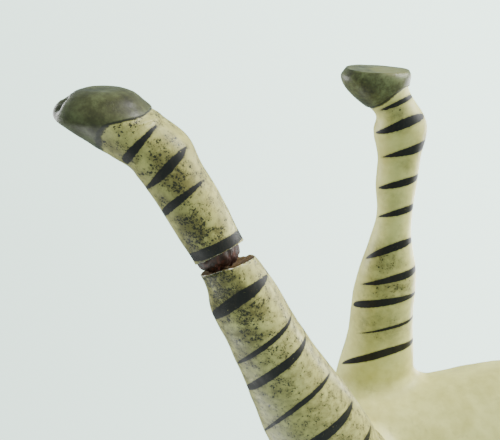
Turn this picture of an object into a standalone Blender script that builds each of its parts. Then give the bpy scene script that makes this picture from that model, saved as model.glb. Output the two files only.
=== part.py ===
"""Carved zebra statue, doweled together, with a broken right foreleg.

Frame: +Z up, the animal faces -Y and its left side is +X. The origin is under the middle of the
whole statue, on the surface that it stands on. Lengths are in metres.
"""
import math

import bpy
from mathutils import Matrix, Vector

# Driving sizes
LEG_LENGTH = 0.218          # from just over the sole to the top of a leg, inside the body
SOLE_DEPTH = 0.003          # the sole lies this far under the leg's stations
LEG_TOP = SOLE_DEPTH + LEG_LENGTH
TRUNK_LENGTH = 0.258        # chest to rump
TRUNK_FRONT_Y = -0.022      # chest, measured from the left fore hoof
NECK_LENGTH = 0.138         # neck seat to poll
EAR_LENGTH = 0.024
EYE_RADIUS = 0.0032
FORE_HALF_TRACK = 0.030     # centre plane to the middle of a fore hoof
HIND_HALF_TRACK = 0.028
SHOULDER_HALF_TRACK = 0.025  # centre plane to the middle of a leg's top
LEG_DOWEL_RADIUS = 0.004
LEG_DOWEL_LENGTH = 0.026    # half in the leg, half in the trunk
NECK_DOWEL_RADIUS = 0.005
NECK_DOWEL_LENGTH = 0.030
BREAK_SHARE = 0.267         # height of the break, as a share of the leg's length
BREAK_GAP = 0.0066          # between the two broken rims, along the leg
BREAK_SLANT = 0.0042        # the break runs lower on the outer side of the leg, higher inside
PLUG_SHARE = 0.86           # plug radius, as a share of the leg's at the break
PLUG_ROOT = 0.90            # plug radius at its foot, neck and crown, as shares of its own
PLUG_NECK = 0.88
PLUG_CROWN = 0.64
STUB_RIM = 0.99             # stub radius at its broken rim, as a share of the leg's
DISH_RIM = 0.90             # dish radius at its rim and floor, as shares of the plug's
DISH_FLOOR = 0.70
PLUG_SEAT_DEPTH = 0.0030    # plug into the foot
STUB_DISH_DEPTH = 0.0022    # hollow in the stub that takes the plug's crown
CLEARANCE = 0.0003          # gap between any two pieces that touch
SIDES_LEG = 24
SIDES_BODY = 32
SIDES_SMALL = 16

# Leg stations, sole to top: share of the leg's length, place along Y from the hoof's middle,
# half depth along the leg's side view, half width along X, and the ring's tilt in degrees.
# A tilt of None sets the ring square to the leg.
LEFT_FORE = (
    (0.000, 0.0000, 0.0132, 0.0114, 0),
    (0.011, 0.0000, 0.0144, 0.0126, 0),
    (0.034, 0.0055, 0.0102, 0.0104, -30),
    (0.057, 0.0095, 0.0088, 0.0088, None),
    (0.096, 0.0140, 0.0113, 0.0100, None),
    (0.165, 0.0165, 0.0096, 0.0090, None),
    (0.230, 0.0175, 0.0092, 0.0087, None),
    (0.290, 0.0195, 0.0079, 0.0082, None),
    (0.340, 0.0205, 0.0080, 0.0084, None),
    (0.385, 0.0210, 0.0098, 0.0096, None),
    (0.450, 0.0220, 0.0138, 0.0118, None),
    (0.510, 0.0225, 0.0156, 0.0128, None),
    (0.575, 0.0235, 0.0163, 0.0132, None),
    (0.656, 0.0255, 0.0178, 0.0145, None),
    (0.752, 0.0270, 0.0215, 0.0165, None),
    (0.853, 0.0290, 0.0245, 0.0180, None),
    (0.930, 0.0300, 0.0225, 0.0170, None),
    (1.000, 0.0300, 0.0140, 0.0120, 0),
)
RIGHT_FORE = (
    (0.000, 0.0000, 0.0112, 0.0098, 0),
    (0.008, 0.0006, 0.0148, 0.0130, 0),
    (0.034, 0.0060, 0.0114, 0.0112, -32),
    (0.058, 0.0115, 0.0099, 0.0098, None),
    (0.085, 0.0185, 0.0107, 0.0102, None),
    (0.115, 0.0222, 0.0098, 0.0098, None),
    (0.151, 0.0262, 0.0098, 0.0097, None),
    (0.193, 0.0302, 0.0100, 0.0098, None),
    (BREAK_SHARE, 0.0378, 0.0101, 0.0098, None),
    (0.306, 0.0424, 0.0114, 0.0106, None),
    (0.344, 0.0457, 0.0130, 0.0116, None),
    (0.410, 0.0522, 0.0140, 0.0124, None),
    (0.519, 0.0633, 0.0166, 0.0140, None),
    (0.660, 0.0780, 0.0222, 0.0165, None),
    (0.790, 0.0915, 0.0250, 0.0180, None),
    (0.900, 0.1010, 0.0240, 0.0175, None),
    (1.000, 0.1055, 0.0150, 0.0120, 0),
)
HIND = (
    (0.000, 0.0000, 0.0130, 0.0112, 0),
    (0.012, 0.0000, 0.0142, 0.0122, 0),
    (0.034, 0.0055, 0.0102, 0.0102, -30),
    (0.057, 0.0090, 0.0088, 0.0088, None),
    (0.096, 0.0130, 0.0110, 0.0098, None),
    (0.160, 0.0150, 0.0094, 0.0088, None),
    (0.252, 0.0180, 0.0088, 0.0084, None),
    (0.358, 0.0210, 0.0096, 0.0090, None),
    (0.422, 0.0230, 0.0125, 0.0100, None),
    (0.472, 0.0220, 0.0145, 0.0108, None),
    (0.541, 0.0170, 0.0140, 0.0114, None),
    (0.619, 0.0110, 0.0170, 0.0130, None),
    (0.711, 0.0050, 0.0225, 0.0155, None),
    (0.817, 0.0020, 0.0280, 0.0185, None),
    (0.917, 0.0020, 0.0265, 0.0180, None),
    (1.000, 0.0020, 0.0165, 0.0120, 0),
)
RIGHT_FORE_HOOF_Y = -0.0995
LEFT_HIND_HOOF_Y = TRUNK_FRONT_Y + TRUNK_LENGTH - 0.040
RIGHT_HIND_HOOF_Y = TRUNK_FRONT_Y + TRUNK_LENGTH - 0.014
LEFT_HIND_LEAN = -0.006     # how far the leg's top lies behind where an upright leg's would
RIGHT_HIND_LEAN = -0.030

# Trunk stations: share of the trunk's length, centre height over the legs' tops, half height,
# half width.
TRUNK = (
    (0.000, 0.008, 0.020, 0.017),
    (0.039, 0.006, 0.036, 0.029),
    (0.116, 0.004, 0.048, 0.038),
    (0.221, 0.003, 0.052, 0.042),
    (0.357, -0.004, 0.055, 0.0445),
    (0.492, -0.011, 0.058, 0.046),
    (0.628, -0.009, 0.056, 0.045),
    (0.764, -0.001, 0.050, 0.042),
    (0.880, 0.004, 0.043, 0.037),
    (0.957, 0.006, 0.032, 0.028),
    (1.000, 0.007, 0.017, 0.015),
)
# Neck stations: share of the neck's length, half depth, half width, tilt.
NECK_SEAT = (0.024, 0.028)  # Y, and height over the legs' tops
NECK = (
    (0.00, 0.0370, 0.0230, 36),
    (0.20, 0.0365, 0.0225, 34),
    (0.42, 0.0325, 0.0198, 31),
    (0.64, 0.0280, 0.0172, 29),
    (0.86, 0.0240, 0.0152, 26),
    (1.00, 0.0180, 0.0122, 26),
)
NECK_LEAN_DEG = 29.0        # from upright, towards the chest
# Head stations from the poll's middle: along the head, half height, half width.
HEAD = (
    (-0.010, 0.0140, 0.0110),
    (0.000, 0.0205, 0.0150),
    (0.018, 0.0235, 0.0170),
    (0.038, 0.0210, 0.0160),
    (0.057, 0.0165, 0.0130),
    (0.075, 0.0138, 0.0112),
    (0.089, 0.0125, 0.0107),
    (0.100, 0.0085, 0.0078),
)
HEAD_TILT_DEG = 123.0       # nose forward and down
# Mane ridge: share of the neck's length, half depth; it stands on the crest of the neck.
MANE = ((0.27, 0.0045), (0.36, 0.0080), (0.64, 0.0100), (0.86, 0.0105), (1.03, 0.0090))
MANE_HALF_WIDTH = 0.0034
# Ear stations above and below its seat, as shares of the ear's length: height, half width, half depth.
EAR = (
    (-0.34, 0.0020, 0.0020),
    (-0.02, 0.0020, 0.0020),
    (0.00, 0.0040, 0.0030),
    (0.22, 0.0060, 0.0037),
    (0.50, 0.0066, 0.0034),
    (0.76, 0.0047, 0.0027),
    (1.00, 0.0014, 0.0012),
)
EAR_SPLAY_DEG = 16.0
EAR_BACK_DEG = 8.0
EAR_HALF_SPACING = 0.0088
EAR_SINK = 0.0035           # seat below the top of the head
EYE_FROM_POLL = (0.024, 0.0085, 0.0148)  # along the head, up, and out from its centre plane
# Tail stations from its root: along Y, up, half size.
TAIL = (
    (-0.010, -0.003, 0.0030),
    (0.004, 0.001, 0.0044),
    (0.012, -0.003, 0.0046),
    (0.017, -0.015, 0.0042),
    (0.019, -0.038, 0.0038),
    (0.019, -0.064, 0.0040),
    (0.018, -0.082, 0.0066),
    (0.017, -0.098, 0.0058),
    (0.015, -0.112, 0.0018),
)
TAIL_ROOT_HEIGHT = 0.030    # over the legs' tops
TAIL_ROOT_SHARE = 0.965     # of the trunk's length
POLL_SHARE = 0.97           # of the neck's length

CREAM = (0.60, 0.56, 0.40, 1.0)
RED_BROWN = (0.035, 0.008, 0.004, 1.0)
BARE_WOOD = (0.42, 0.27, 0.13, 1.0)
BEAD_BLACK = (0.01, 0.01, 0.012, 1.0)


def material(name, colour, roughness):
    mat = bpy.data.materials.new(name)
    mat.use_nodes = True
    shader = mat.node_tree.nodes["Principled BSDF"]
    shader.inputs["Base Color"].default_value = colour
    shader.inputs["Roughness"].default_value = roughness
    shader.inputs["Metallic"].default_value = 0.0
    return mat


def tilt_axes(tilt):
    """Depth direction and normal of a ring tilted about X by an angle in radians."""
    depth = Vector((0.0, math.cos(tilt), math.sin(tilt)))
    normal = Vector((0.0, -math.sin(tilt), math.cos(tilt)))
    return depth, normal


def ring(x, y, z, half_depth, half_width, tilt_deg):
    return {
        "centre": Vector((x, y, z)),
        "half_depth": half_depth,
        "half_width": half_width,
        "tilt": None if tilt_deg is None else math.radians(tilt_deg),
        "slant": 0.0,
    }


def square_to_path(rings):
    """Give each ring without a tilt the one that sets it square to the line through its neighbours."""
    for i, this in enumerate(rings):
        if this["tilt"] is None:
            before = rings[max(i - 1, 0)]["centre"]
            after = rings[min(i + 1, len(rings) - 1)]["centre"]
            run = after - before
            this["tilt"] = math.atan2(-run.y, run.z)
    return rings


def loft(name, rings, sides, mat, grow=0.0, start_grow=0.0, end_grow=0.0):
    """A closed skin through elliptical rings. A cutter's rings grow outward and past its ends."""
    loops = []
    last = len(rings) - 1
    for i, this in enumerate(rings):
        depth, normal = tilt_axes(this["tilt"])
        centre = this["centre"].copy()
        if i == 0:
            centre -= normal * start_grow
        if i == last:
            centre += normal * end_grow
        loop = []
        for k in range(sides):
            angle = 2.0 * math.pi * k / sides
            across = (this["half_width"] + grow) * math.cos(angle)
            along = (this["half_depth"] + grow) * math.sin(angle)
            rise = normal * this["slant"] * math.cos(angle)
            loop.append(centre + Vector((across, 0.0, 0.0)) + depth * along + rise)
        loops.append(loop)
    verts = [point for loop in loops for point in loop]
    faces = [tuple(reversed(range(sides)))]
    for i in range(last):
        low, high = i * sides, (i + 1) * sides
        for k in range(sides):
            nxt = (k + 1) % sides
            faces.append((low + k, low + nxt, high + nxt, high + k))
    faces.append(tuple(range(last * sides, (last + 1) * sides)))
    return mesh_object(name, verts, faces, mat)


def mesh_object(name, verts, faces, mat):
    mesh = bpy.data.meshes.new(name)
    mesh.from_pydata([tuple(v) for v in verts], [], faces)
    mesh.validate()
    mesh.shade_smooth()
    mesh.set_sharp_from_angle(angle=math.radians(50))
    obj = bpy.data.objects.new(name, mesh)
    bpy.context.collection.objects.link(obj)
    if mat:
        mesh.materials.append(mat)
    return obj


def rod(name, start, end, radius, mat, grow=0.0):
    """A round dowel between two points; a cutter's grows all round and past both ends."""
    axis = (end - start).normalized()
    side = axis.orthogonal().normalized()
    other = axis.cross(side)
    verts = []
    for centre in (start - axis * grow, end + axis * grow):
        for k in range(SIDES_SMALL):
            angle = 2.0 * math.pi * k / SIDES_SMALL
            reach = radius + grow
            verts.append(centre + side * reach * math.cos(angle) + other * reach * math.sin(angle))
    faces = [tuple(reversed(range(SIDES_SMALL)))]
    for k in range(SIDES_SMALL):
        nxt = (k + 1) % SIDES_SMALL
        faces.append((k, nxt, SIDES_SMALL + nxt, SIDES_SMALL + k))
    faces.append(tuple(range(SIDES_SMALL, 2 * SIDES_SMALL)))
    return mesh_object(name, verts, faces, mat)


def bead(name, centre, radius, mat):
    bands, steps = 10, 16
    verts = [centre + Vector((0.0, 0.0, -radius))]
    for i in range(1, bands):
        lat = -math.pi / 2.0 + math.pi * i / bands
        for k in range(steps):
            lon = 2.0 * math.pi * k / steps
            verts.append(centre + radius * Vector((math.cos(lat) * math.cos(lon),
                                                   math.cos(lat) * math.sin(lon),
                                                   math.sin(lat))))
    verts.append(centre + Vector((0.0, 0.0, radius)))
    top = len(verts) - 1
    faces = []
    for k in range(steps):
        nxt = (k + 1) % steps
        faces.append((0, 1 + nxt, 1 + k))
        for i in range(bands - 2):
            low, high = 1 + i * steps, 1 + (i + 1) * steps
            faces.append((low + k, low + nxt, high + nxt, high + k))
        crown = 1 + (bands - 2) * steps
        faces.append((crown + k, crown + nxt, top))
    return mesh_object(name, verts, faces, mat)


def hide_tool(obj):
    obj.hide_render = True
    obj.display_type = 'WIRE'


def combine(target, tool, operation):
    hide_tool(tool)
    mod = target.modifiers.new(operation.title() + "." + tool.name, 'BOOLEAN')
    mod.operation = operation
    mod.solver = 'EXACT'
    mod.object = tool


def cut(target, tool):
    combine(target, tool, 'DIFFERENCE')


def join(target, tool):
    combine(target, tool, 'UNION')


def leg_rings(rows, hoof_y, side, half_track, lean=0.0):
    rings = []
    for share, dy, half_depth, half_width, tilt in rows:
        x = half_track + (SHOULDER_HALF_TRACK - half_track) * share
        z = SOLE_DEPTH + share * LEG_LENGTH if share else 0.0
        rings.append(ring(side * x, hoof_y + dy + lean * share, z, half_depth, half_width, tilt))
    return square_to_path(rings)


def seat_leg(trunk, name, rings):
    """Let a leg's top into the trunk and join the two with a loose dowel."""
    pocket = loft(name + "_pocket", rings, SIDES_LEG, None, grow=CLEARANCE, end_grow=CLEARANCE)
    cut(trunk, pocket)
    top = rings[-1]["centre"]
    half = Vector((0.0, 0.0, LEG_DOWEL_LENGTH / 2.0))
    cut(trunk, rod(name + "_dowel_hole", top - half, top + half, LEG_DOWEL_RADIUS, None, CLEARANCE))
    rod(name + "_dowel", top - half, top + half, LEG_DOWEL_RADIUS, wood(name + "_dowel_wood"))
    return bpy.data.objects[name + "_dowel_hole"]


def wood(name):
    return material(name, BARE_WOOD, 0.7)


def paint(name):
    return material(name, CREAM, 0.45)


def build_trunk():
    rings = []
    for share, rise, half_height, half_width in reversed(TRUNK):
        y = TRUNK_FRONT_Y + share * TRUNK_LENGTH
        rings.append(ring(0.0, y, LEG_TOP + rise, half_height, half_width, 90))
    return loft("trunk", rings, SIDES_BODY, paint("trunk_paint"))


def build_whole_leg(trunk, name, rows, hoof_y, side, half_track, lean=0.0):
    rings = leg_rings(rows, hoof_y, side, half_track, lean)
    leg = loft(name, rings, SIDES_LEG, paint(name + "_paint"))
    cut(leg, seat_leg(trunk, name, rings))


def break_frame():
    """Middle of the break, the leg's upward direction there, and the leg's radius there."""
    rings = leg_rings(RIGHT_FORE, RIGHT_FORE_HOOF_Y, -1, FORE_HALF_TRACK)
    shares = [row[0] for row in RIGHT_FORE]
    at = shares.index(BREAK_SHARE)
    _, up = tilt_axes(rings[at]["tilt"])
    return rings, at, up


def build_broken_leg(trunk):
    rings, at, up = break_frame()
    middle = rings[at]
    name = "right_foreleg"

    def rim(offset, size=1.0):
        here = dict(middle)
        here["centre"] = middle["centre"] + up * offset
        here["half_depth"] = middle["half_depth"] * size
        here["half_width"] = middle["half_width"] * size
        here["slant"] = BREAK_SLANT * size
        return here

    half_gap = BREAK_GAP / 2.0
    foot_rings = rings[:at] + [rim(-half_gap)]
    stub_rings = [rim(half_gap, STUB_RIM)] + rings[at + 1:]
    stub = loft(name, stub_rings, SIDES_LEG, paint(name + "_paint"))
    cut(stub, seat_leg(trunk, name, rings))

    foot = loft("right_fore_foot", foot_rings, SIDES_LEG, paint("right_fore_foot_paint"))
    crown = STUB_DISH_DEPTH + half_gap - CLEARANCE
    plug_rings = [
        rim(-half_gap - PLUG_SEAT_DEPTH, PLUG_SHARE * PLUG_ROOT),
        rim(-half_gap, PLUG_SHARE),
        rim(0.0, PLUG_SHARE),
        rim(half_gap - CLEARANCE, PLUG_SHARE * PLUG_NECK),
        rim(crown, PLUG_SHARE * PLUG_CROWN),
    ]
    plug = loft("foot_plug", plug_rings, SIDES_LEG, material("plug_dark_core", RED_BROWN, 0.6))
    grown = dict(grow=CLEARANCE, start_grow=CLEARANCE, end_grow=CLEARANCE)
    cut(foot, loft("foot_plug_seat", plug_rings, SIDES_LEG, None, **grown))
    dish_rings = [rim(half_gap, PLUG_SHARE * DISH_RIM),
                  rim(half_gap + STUB_DISH_DEPTH, PLUG_SHARE * DISH_FLOOR)]
    cut(stub, loft("stub_dish", dish_rings, SIDES_LEG, None, start_grow=CLEARANCE))
    for piece in (foot, plug):
        put_origin(piece, middle["centre"])


def put_origin(obj, point):
    """Move an object's origin, not its shape."""
    obj.data.transform(Matrix.Translation(-point))
    obj.location = point


def build_neck_and_head(trunk):
    """Neck, head and mane are one block; the head's ring planes face the nose."""
    lean = math.radians(NECK_LEAN_DEG)
    path = Vector((0.0, -math.sin(lean), math.cos(lean)))
    seat = Vector((0.0, NECK_SEAT[0], LEG_TOP + NECK_SEAT[1]))

    def on_neck(share):
        return seat + path * share * NECK_LENGTH

    rings = [ring(0.0, on_neck(s).y, on_neck(s).z, d, w, t) for s, d, w, t in NECK]
    block = loft("neck_and_head", rings, SIDES_LEG, paint("neck_and_head_paint"))
    cut(trunk, loft("neck_pocket", rings, SIDES_LEG, None, grow=CLEARANCE, start_grow=CLEARANCE))

    crown, nose = tilt_axes(math.radians(HEAD_TILT_DEG))
    poll = on_neck(POLL_SHARE)
    head_rings = []
    for along, half_height, half_width in HEAD:
        at = poll + nose * along
        head_rings.append(ring(0.0, at.y, at.z, half_height, half_width, HEAD_TILT_DEG))
    join(block, loft("head_form", head_rings, SIDES_LEG, None))

    mane_rings = []
    for share, half_depth in MANE:
        neck_depth = depth_at(share)
        back, _ = tilt_axes(lean)
        at = on_neck(share) + back * neck_depth
        mane_rings.append(ring(0.0, at.y, at.z, half_depth, MANE_HALF_WIDTH, NECK_LEAN_DEG))
    join(block, loft("mane_form", mane_rings, SIDES_SMALL, None))

    _, up = tilt_axes(math.radians(NECK[0][3]))
    half = up * NECK_DOWEL_LENGTH / 2.0
    hole = rod("neck_dowel_hole", seat - half, seat + half, NECK_DOWEL_RADIUS, None, CLEARANCE)
    cut(block, hole)
    cut(trunk, hole)
    rod("neck_dowel", seat - half, seat + half, NECK_DOWEL_RADIUS, wood("neck_dowel_wood"))

    build_ears(block, poll, crown)
    build_eyes(block, poll, nose, crown)


def depth_at(share):
    """The neck's half depth at a share of its length."""
    for low, high in zip(NECK, NECK[1:]):
        if share <= high[0]:
            part = (share - low[0]) / (high[0] - low[0])
            return low[1] + (high[1] - low[1]) * part
    return NECK[-1][1]


def build_ears(head, poll, crown):
    seat = poll + crown * (HEAD[1][1] - EAR_SINK)
    for side, name in ((1, "left_ear"), (-1, "right_ear")):
        place = Matrix.Translation(seat + Vector((side * EAR_HALF_SPACING, 0.0, 0.0)))
        place = place @ Matrix.Rotation(side * math.radians(EAR_SPLAY_DEG), 4, 'Y')
        place = place @ Matrix.Rotation(-math.radians(EAR_BACK_DEG), 4, 'X')
        rings = [ring(0.0, 0.0, h * EAR_LENGTH, d, w, 0) for h, w, d in EAR]
        ear = loft(name, rings, SIDES_SMALL, paint(name + "_paint"))
        socket = loft(name + "_socket", rings[:4], SIDES_SMALL, None, grow=CLEARANCE,
                      start_grow=CLEARANCE)
        for obj in (ear, socket):
            obj.data.transform(place)
        cut(head, socket)


def build_eyes(head, poll, nose, crown):
    along, up, out = EYE_FROM_POLL
    centre = poll + nose * along + crown * up
    for side, name in ((1, "left_eye"), (-1, "right_eye")):
        at = centre + Vector((side * out, 0.0, 0.0))
        bead(name, at, EYE_RADIUS, material(name + "_bead", BEAD_BLACK, 0.15))
        cut(head, bead(name + "_socket", at, EYE_RADIUS + CLEARANCE, None))


def build_tail(trunk):
    root_y = TRUNK_FRONT_Y + TRUNK_LENGTH * TAIL_ROOT_SHARE
    root_z = LEG_TOP + TAIL_ROOT_HEIGHT
    rings = [ring(0.0, root_y + dy, root_z + dz, r, r, None) for dy, dz, r in TAIL]
    square_to_path(rings)
    loft("tail", rings, SIDES_SMALL, paint("tail_paint"))
    cut(trunk, loft("tail_pocket", rings[:4], SIDES_SMALL, None, grow=CLEARANCE, start_grow=CLEARANCE))


def stand_on_origin():
    """Shift everything so that the statue's box is centred over the origin and rests at z = 0."""
    bpy.context.view_layer.update()
    graph = bpy.context.evaluated_depsgraph_get()
    pieces = [o for o in bpy.context.scene.objects if o.type == 'MESH' and not o.hide_render]
    points = []
    for obj in pieces:
        shape = obj.evaluated_get(graph)
        points += [shape.matrix_world @ v.co for v in shape.data.vertices]
    low = Vector([min(p[i] for p in points) for i in range(3)])
    high = Vector([max(p[i] for p in points) for i in range(3)])
    shift = Vector((-(low.x + high.x) / 2.0, -(low.y + high.y) / 2.0, -low.z))
    for obj in bpy.context.scene.objects:
        obj.location += shift
    print("shift", tuple(round(v, 5) for v in shift), "size", tuple(round(v, 5) for v in high - low))
    return shift


def main():
    for obj in list(bpy.data.objects):
        bpy.data.objects.remove(obj, do_unlink=True)
    trunk = build_trunk()
    build_whole_leg(trunk, "left_foreleg", LEFT_FORE, 0.0, 1, FORE_HALF_TRACK)
    build_broken_leg(trunk)
    build_whole_leg(trunk, "left_hindleg", HIND, LEFT_HIND_HOOF_Y, 1, HIND_HALF_TRACK, LEFT_HIND_LEAN)
    build_whole_leg(trunk, "right_hindleg", HIND, RIGHT_HIND_HOOF_Y, -1, HIND_HALF_TRACK,
                    RIGHT_HIND_LEAN)
    build_neck_and_head(trunk)
    build_tail(trunk)
    shift = stand_on_origin()
    rings, at, up = break_frame()
    print("break at", tuple(round(v, 5) for v in rings[at]["centre"] + shift),
          "pull axis", tuple(round(-v, 5) for v in up))


main()
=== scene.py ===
import math

import bpy
import numpy as np
from mathutils import Matrix, Vector


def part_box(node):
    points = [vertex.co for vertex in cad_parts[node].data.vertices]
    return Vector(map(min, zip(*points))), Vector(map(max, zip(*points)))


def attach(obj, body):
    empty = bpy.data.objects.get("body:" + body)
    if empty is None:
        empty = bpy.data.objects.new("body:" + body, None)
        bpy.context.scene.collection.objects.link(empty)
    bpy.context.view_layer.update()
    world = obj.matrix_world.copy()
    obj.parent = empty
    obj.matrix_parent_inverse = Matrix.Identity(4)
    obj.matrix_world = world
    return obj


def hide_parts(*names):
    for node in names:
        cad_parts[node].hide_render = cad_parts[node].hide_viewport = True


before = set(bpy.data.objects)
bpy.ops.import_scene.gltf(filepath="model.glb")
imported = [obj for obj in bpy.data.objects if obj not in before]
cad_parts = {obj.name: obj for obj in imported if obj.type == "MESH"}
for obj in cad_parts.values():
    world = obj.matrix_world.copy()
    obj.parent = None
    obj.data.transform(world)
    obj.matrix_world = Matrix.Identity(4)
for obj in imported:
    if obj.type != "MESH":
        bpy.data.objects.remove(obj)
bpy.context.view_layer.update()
mm = 0.001

# The carver's sizes, as the frame has them. y counts from the middle of the left fore hoof.
statue = {
    "legLength": 0.218,   # over the sole's depth
    "soleDepth": 0.003,
    "legTop": 0.221,
    "trunkFront": -0.022,
    "trunkLength": 0.258,
    "neckSeat": (0.024, 0.249),
    "neckLength": 0.138,
    "neckLean": 29.0,
    "pollShare": 0.97,
    "headTilt": 123.0,
    "shoulderHalfTrack": 0.025,
}
leftHoofFront = -0.0144
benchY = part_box("left_foreleg")[0].y - leftHoofFront
soleShare = -statue["soleDepth"] / statue["legLength"]
legEnd = 0.93   # a visible leg ends at this share, inside the body
solePaint = {"loops": 14, "rough": 0.05 * mm}


def linearColour(code):
    parts = [int(code[i:i + 2], 16) / 255 for i in (1, 3, 5)]
    return [p / 12.92 if p <= 0.04045 else ((p + 0.055) / 1.055) ** 2.4 for p in parts] + [1.0]


def addNode(tree, kind, settings=None, inputs=None):
    node = tree.nodes.new(kind)
    for key, value in (settings or {}).items():
        setattr(node, key, value)
    for key, value in (inputs or {}).items():
        if isinstance(value, bpy.types.NodeSocket):
            tree.links.new(value, node.inputs[key])
        else:
            node.inputs[key].default_value = value
    return node


def smoothCurve(xs, ys, at):
    # a cubic through uneven stations
    xs, ys = np.asarray(xs, float), np.asarray(ys, float)
    at = np.clip(at, xs[0], xs[-1])
    slope = np.gradient(ys, xs)
    i = np.clip(np.searchsorted(xs, at) - 1, 0, len(xs) - 2)
    h = xs[i + 1] - xs[i]
    t = (at - xs[i]) / h
    return ((2 * t**3 - 3 * t**2 + 1) * ys[i] + (t**3 - 2 * t**2 + t) * h * slope[i]
            + (3 * t**2 - 2 * t**3) * ys[i + 1] + (t**3 - t**2) * h * slope[i + 1])


def ramp(low, high, value):
    t = np.clip((value - low) / (high - low), 0, 1)
    return t * t * (3 - 2 * t)


def lumps(points, size, seed=0):
    # smooth random field, -1 to 1, one lump to a size in metres
    p = points / size + seed * 7.31 + 1000.0
    cell = np.floor(p).astype(np.int64)
    f = p - cell
    f = f * f * (3 - 2 * f)
    total = np.zeros(len(points))
    for corner in range(8):
        step = np.array([corner & 1, corner >> 1 & 1, corner >> 2 & 1])
        c = cell + step
        h = (c[:, 0] * 73856093) ^ (c[:, 1] * 19349663) ^ (c[:, 2] * 83492791)
        h = (h ^ (h >> 13)) * 1274126177 & 0x7FFFFFFF
        value = (h % 65536) / 32767.5 - 1
        weight = np.prod(np.where(step == 1, f, 1 - f), axis=1)
        total += value * weight
    return total


def meshFrom(name, points, faces):
    mesh = bpy.data.meshes.new(name)
    mesh.from_pydata(points.tolist(), [], faces)
    mesh.shade_smooth()
    thing = bpy.data.objects.new(name, mesh)
    bpy.context.scene.collection.objects.link(thing)
    return thing


def loopFaces(count, sides):
    # quads between loops, and a fan to one middle point at each end
    i, k = np.meshgrid(np.arange(count - 1), np.arange(sides), indexing="ij")
    nxt = (k + 1) % sides
    quads = np.stack([i * sides + k, i * sides + nxt, (i + 1) * sides + nxt, (i + 1) * sides + k], -1)
    faces = quads.reshape(-1, 4).tolist()
    first, last, base = count * sides, count * sides + 1, (count - 1) * sides
    for k in range(sides):
        faces.append([first, (k + 1) % sides, k])
        faces.append([last, base + k, base + (k + 1) % sides])
    return faces


def loopMesh(name, loops):
    # loops is (count, sides, 3)
    points = np.concatenate([loops.reshape(-1, 3), loops[0].mean(0)[None], loops[-1].mean(0)[None]])
    return meshFrom(name, points, loopFaces(len(loops), loops.shape[1]))


def writeAttribute(thing, name, values):
    layer = thing.data.attributes.get(name) or thing.data.attributes.new(name, "FLOAT", "POINT")
    layer.data.foreach_set("value", np.asarray(values, np.float32))


def withEnds(values):
    # one value a loop point, plus the two middle points
    flat = values.reshape(-1)
    sides = values.shape[1]
    return np.concatenate([flat, [flat[:sides].mean(), flat[-sides:].mean()]])


def ringAngles(sides):
    return np.arange(sides) * 2 * math.pi / sides


def ovalLoops(middle, halfAcross, halfUp, up, angle):
    # rings across x and up, one about each middle point
    return (middle[:, None] + (halfAcross[:, None] * np.cos(angle))[..., None] * [1.0, 0, 0]
            + (halfUp[:, None] * np.sin(angle))[..., None] * up)


def axes(tilt):
    zero = np.zeros_like(tilt)
    depth = np.stack([zero, np.cos(tilt), np.sin(tilt)], -1)
    normal = np.stack([zero, -np.sin(tilt), np.cos(tilt)], -1)
    return depth, normal


# Stations up a leg: share of its length, place along y, half depth, half width, tilt of the ring.
foreLegLeft = {
    "rows": (
        (-0.01376, 0.0000, 0.0132, 0.0114, 0), (-0.009, 0.0000, 0.0139, 0.0121, 0),
        (0.011, 0.0000, 0.0144, 0.0126, 0),
        (0.034, 0.0055, 0.0102, 0.0104, -30), (0.057, 0.0095, 0.0088, 0.0088, None),
        (0.096, 0.0140, 0.0113, 0.0100, None), (0.165, 0.0165, 0.0096, 0.0090, None),
        (0.230, 0.0177, 0.0094, 0.0088, None), (0.290, 0.0195, 0.0085, 0.0084, None),
        (0.340, 0.0204, 0.0090, 0.0088, None), (0.385, 0.0210, 0.0112, 0.0100, None),
        (0.450, 0.0221, 0.0146, 0.0120, None), (0.510, 0.0227, 0.0162, 0.0130, None),
        (0.575, 0.0237, 0.0168, 0.0134, None), (0.656, 0.0257, 0.0182, 0.0146, None),
        (0.752, 0.0270, 0.0215, 0.0165, None), (0.853, 0.0290, 0.0245, 0.0180, None),
        (0.930, 0.0300, 0.0225, 0.0170, None), (1.000, 0.0300, 0.0140, 0.0120, 0)),
    "hoofY": 0.0, "side": 1, "halfTrack": 0.030, "lean": 0.0, "coronet": 0.038,
    "heelDrop": 0.022,
}
foreLegRight = {
    "rows": (
        (-0.01376, 0.0008, 0.0060, 0.0054, 0), (-0.0100, 0.0007, 0.0086, 0.0076, 0),
        (-0.0040, 0.0006, 0.0106, 0.0094, 0), (0.003, 0.0003, 0.0124, 0.0109, 0),
        (0.011, 0.0001, 0.0142, 0.0123, -1), (0.020, 0.0006, 0.0151, 0.0129, -3),
        (0.030, 0.0034, 0.0145, 0.0124, -8), (0.043, 0.0068, 0.0119, 0.0112, -22),
        (0.058, 0.0110, 0.0103, 0.0102, None),
        (0.085, 0.0177, 0.0108, 0.0102, None), (0.115, 0.0211, 0.0101, 0.0099, None),
        (0.151, 0.0255, 0.0100, 0.0097, None), (0.193, 0.0300, 0.0101, 0.0098, None),
        (0.267, 0.0378, 0.0101, 0.0098, None), (0.306, 0.0421, 0.0117, 0.0106, None),
        (0.344, 0.0452, 0.0135, 0.0117, None), (0.410, 0.0517, 0.0146, 0.0125, None),
        (0.519, 0.0628, 0.0172, 0.0141, None), (0.660, 0.0776, 0.0226, 0.0166, None),
        (0.790, 0.0915, 0.0250, 0.0180, None), (0.900, 0.1010, 0.0240, 0.0175, None),
        (1.000, 0.1055, 0.0150, 0.0120, 0)),
    "hoofY": -0.0995, "side": -1, "halfTrack": 0.030, "lean": 0.0, "coronet": 0.048,
    "coronetDip": 0.021, "heelDrop": 0.028,
    "breakShare": 0.267,
}
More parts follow.
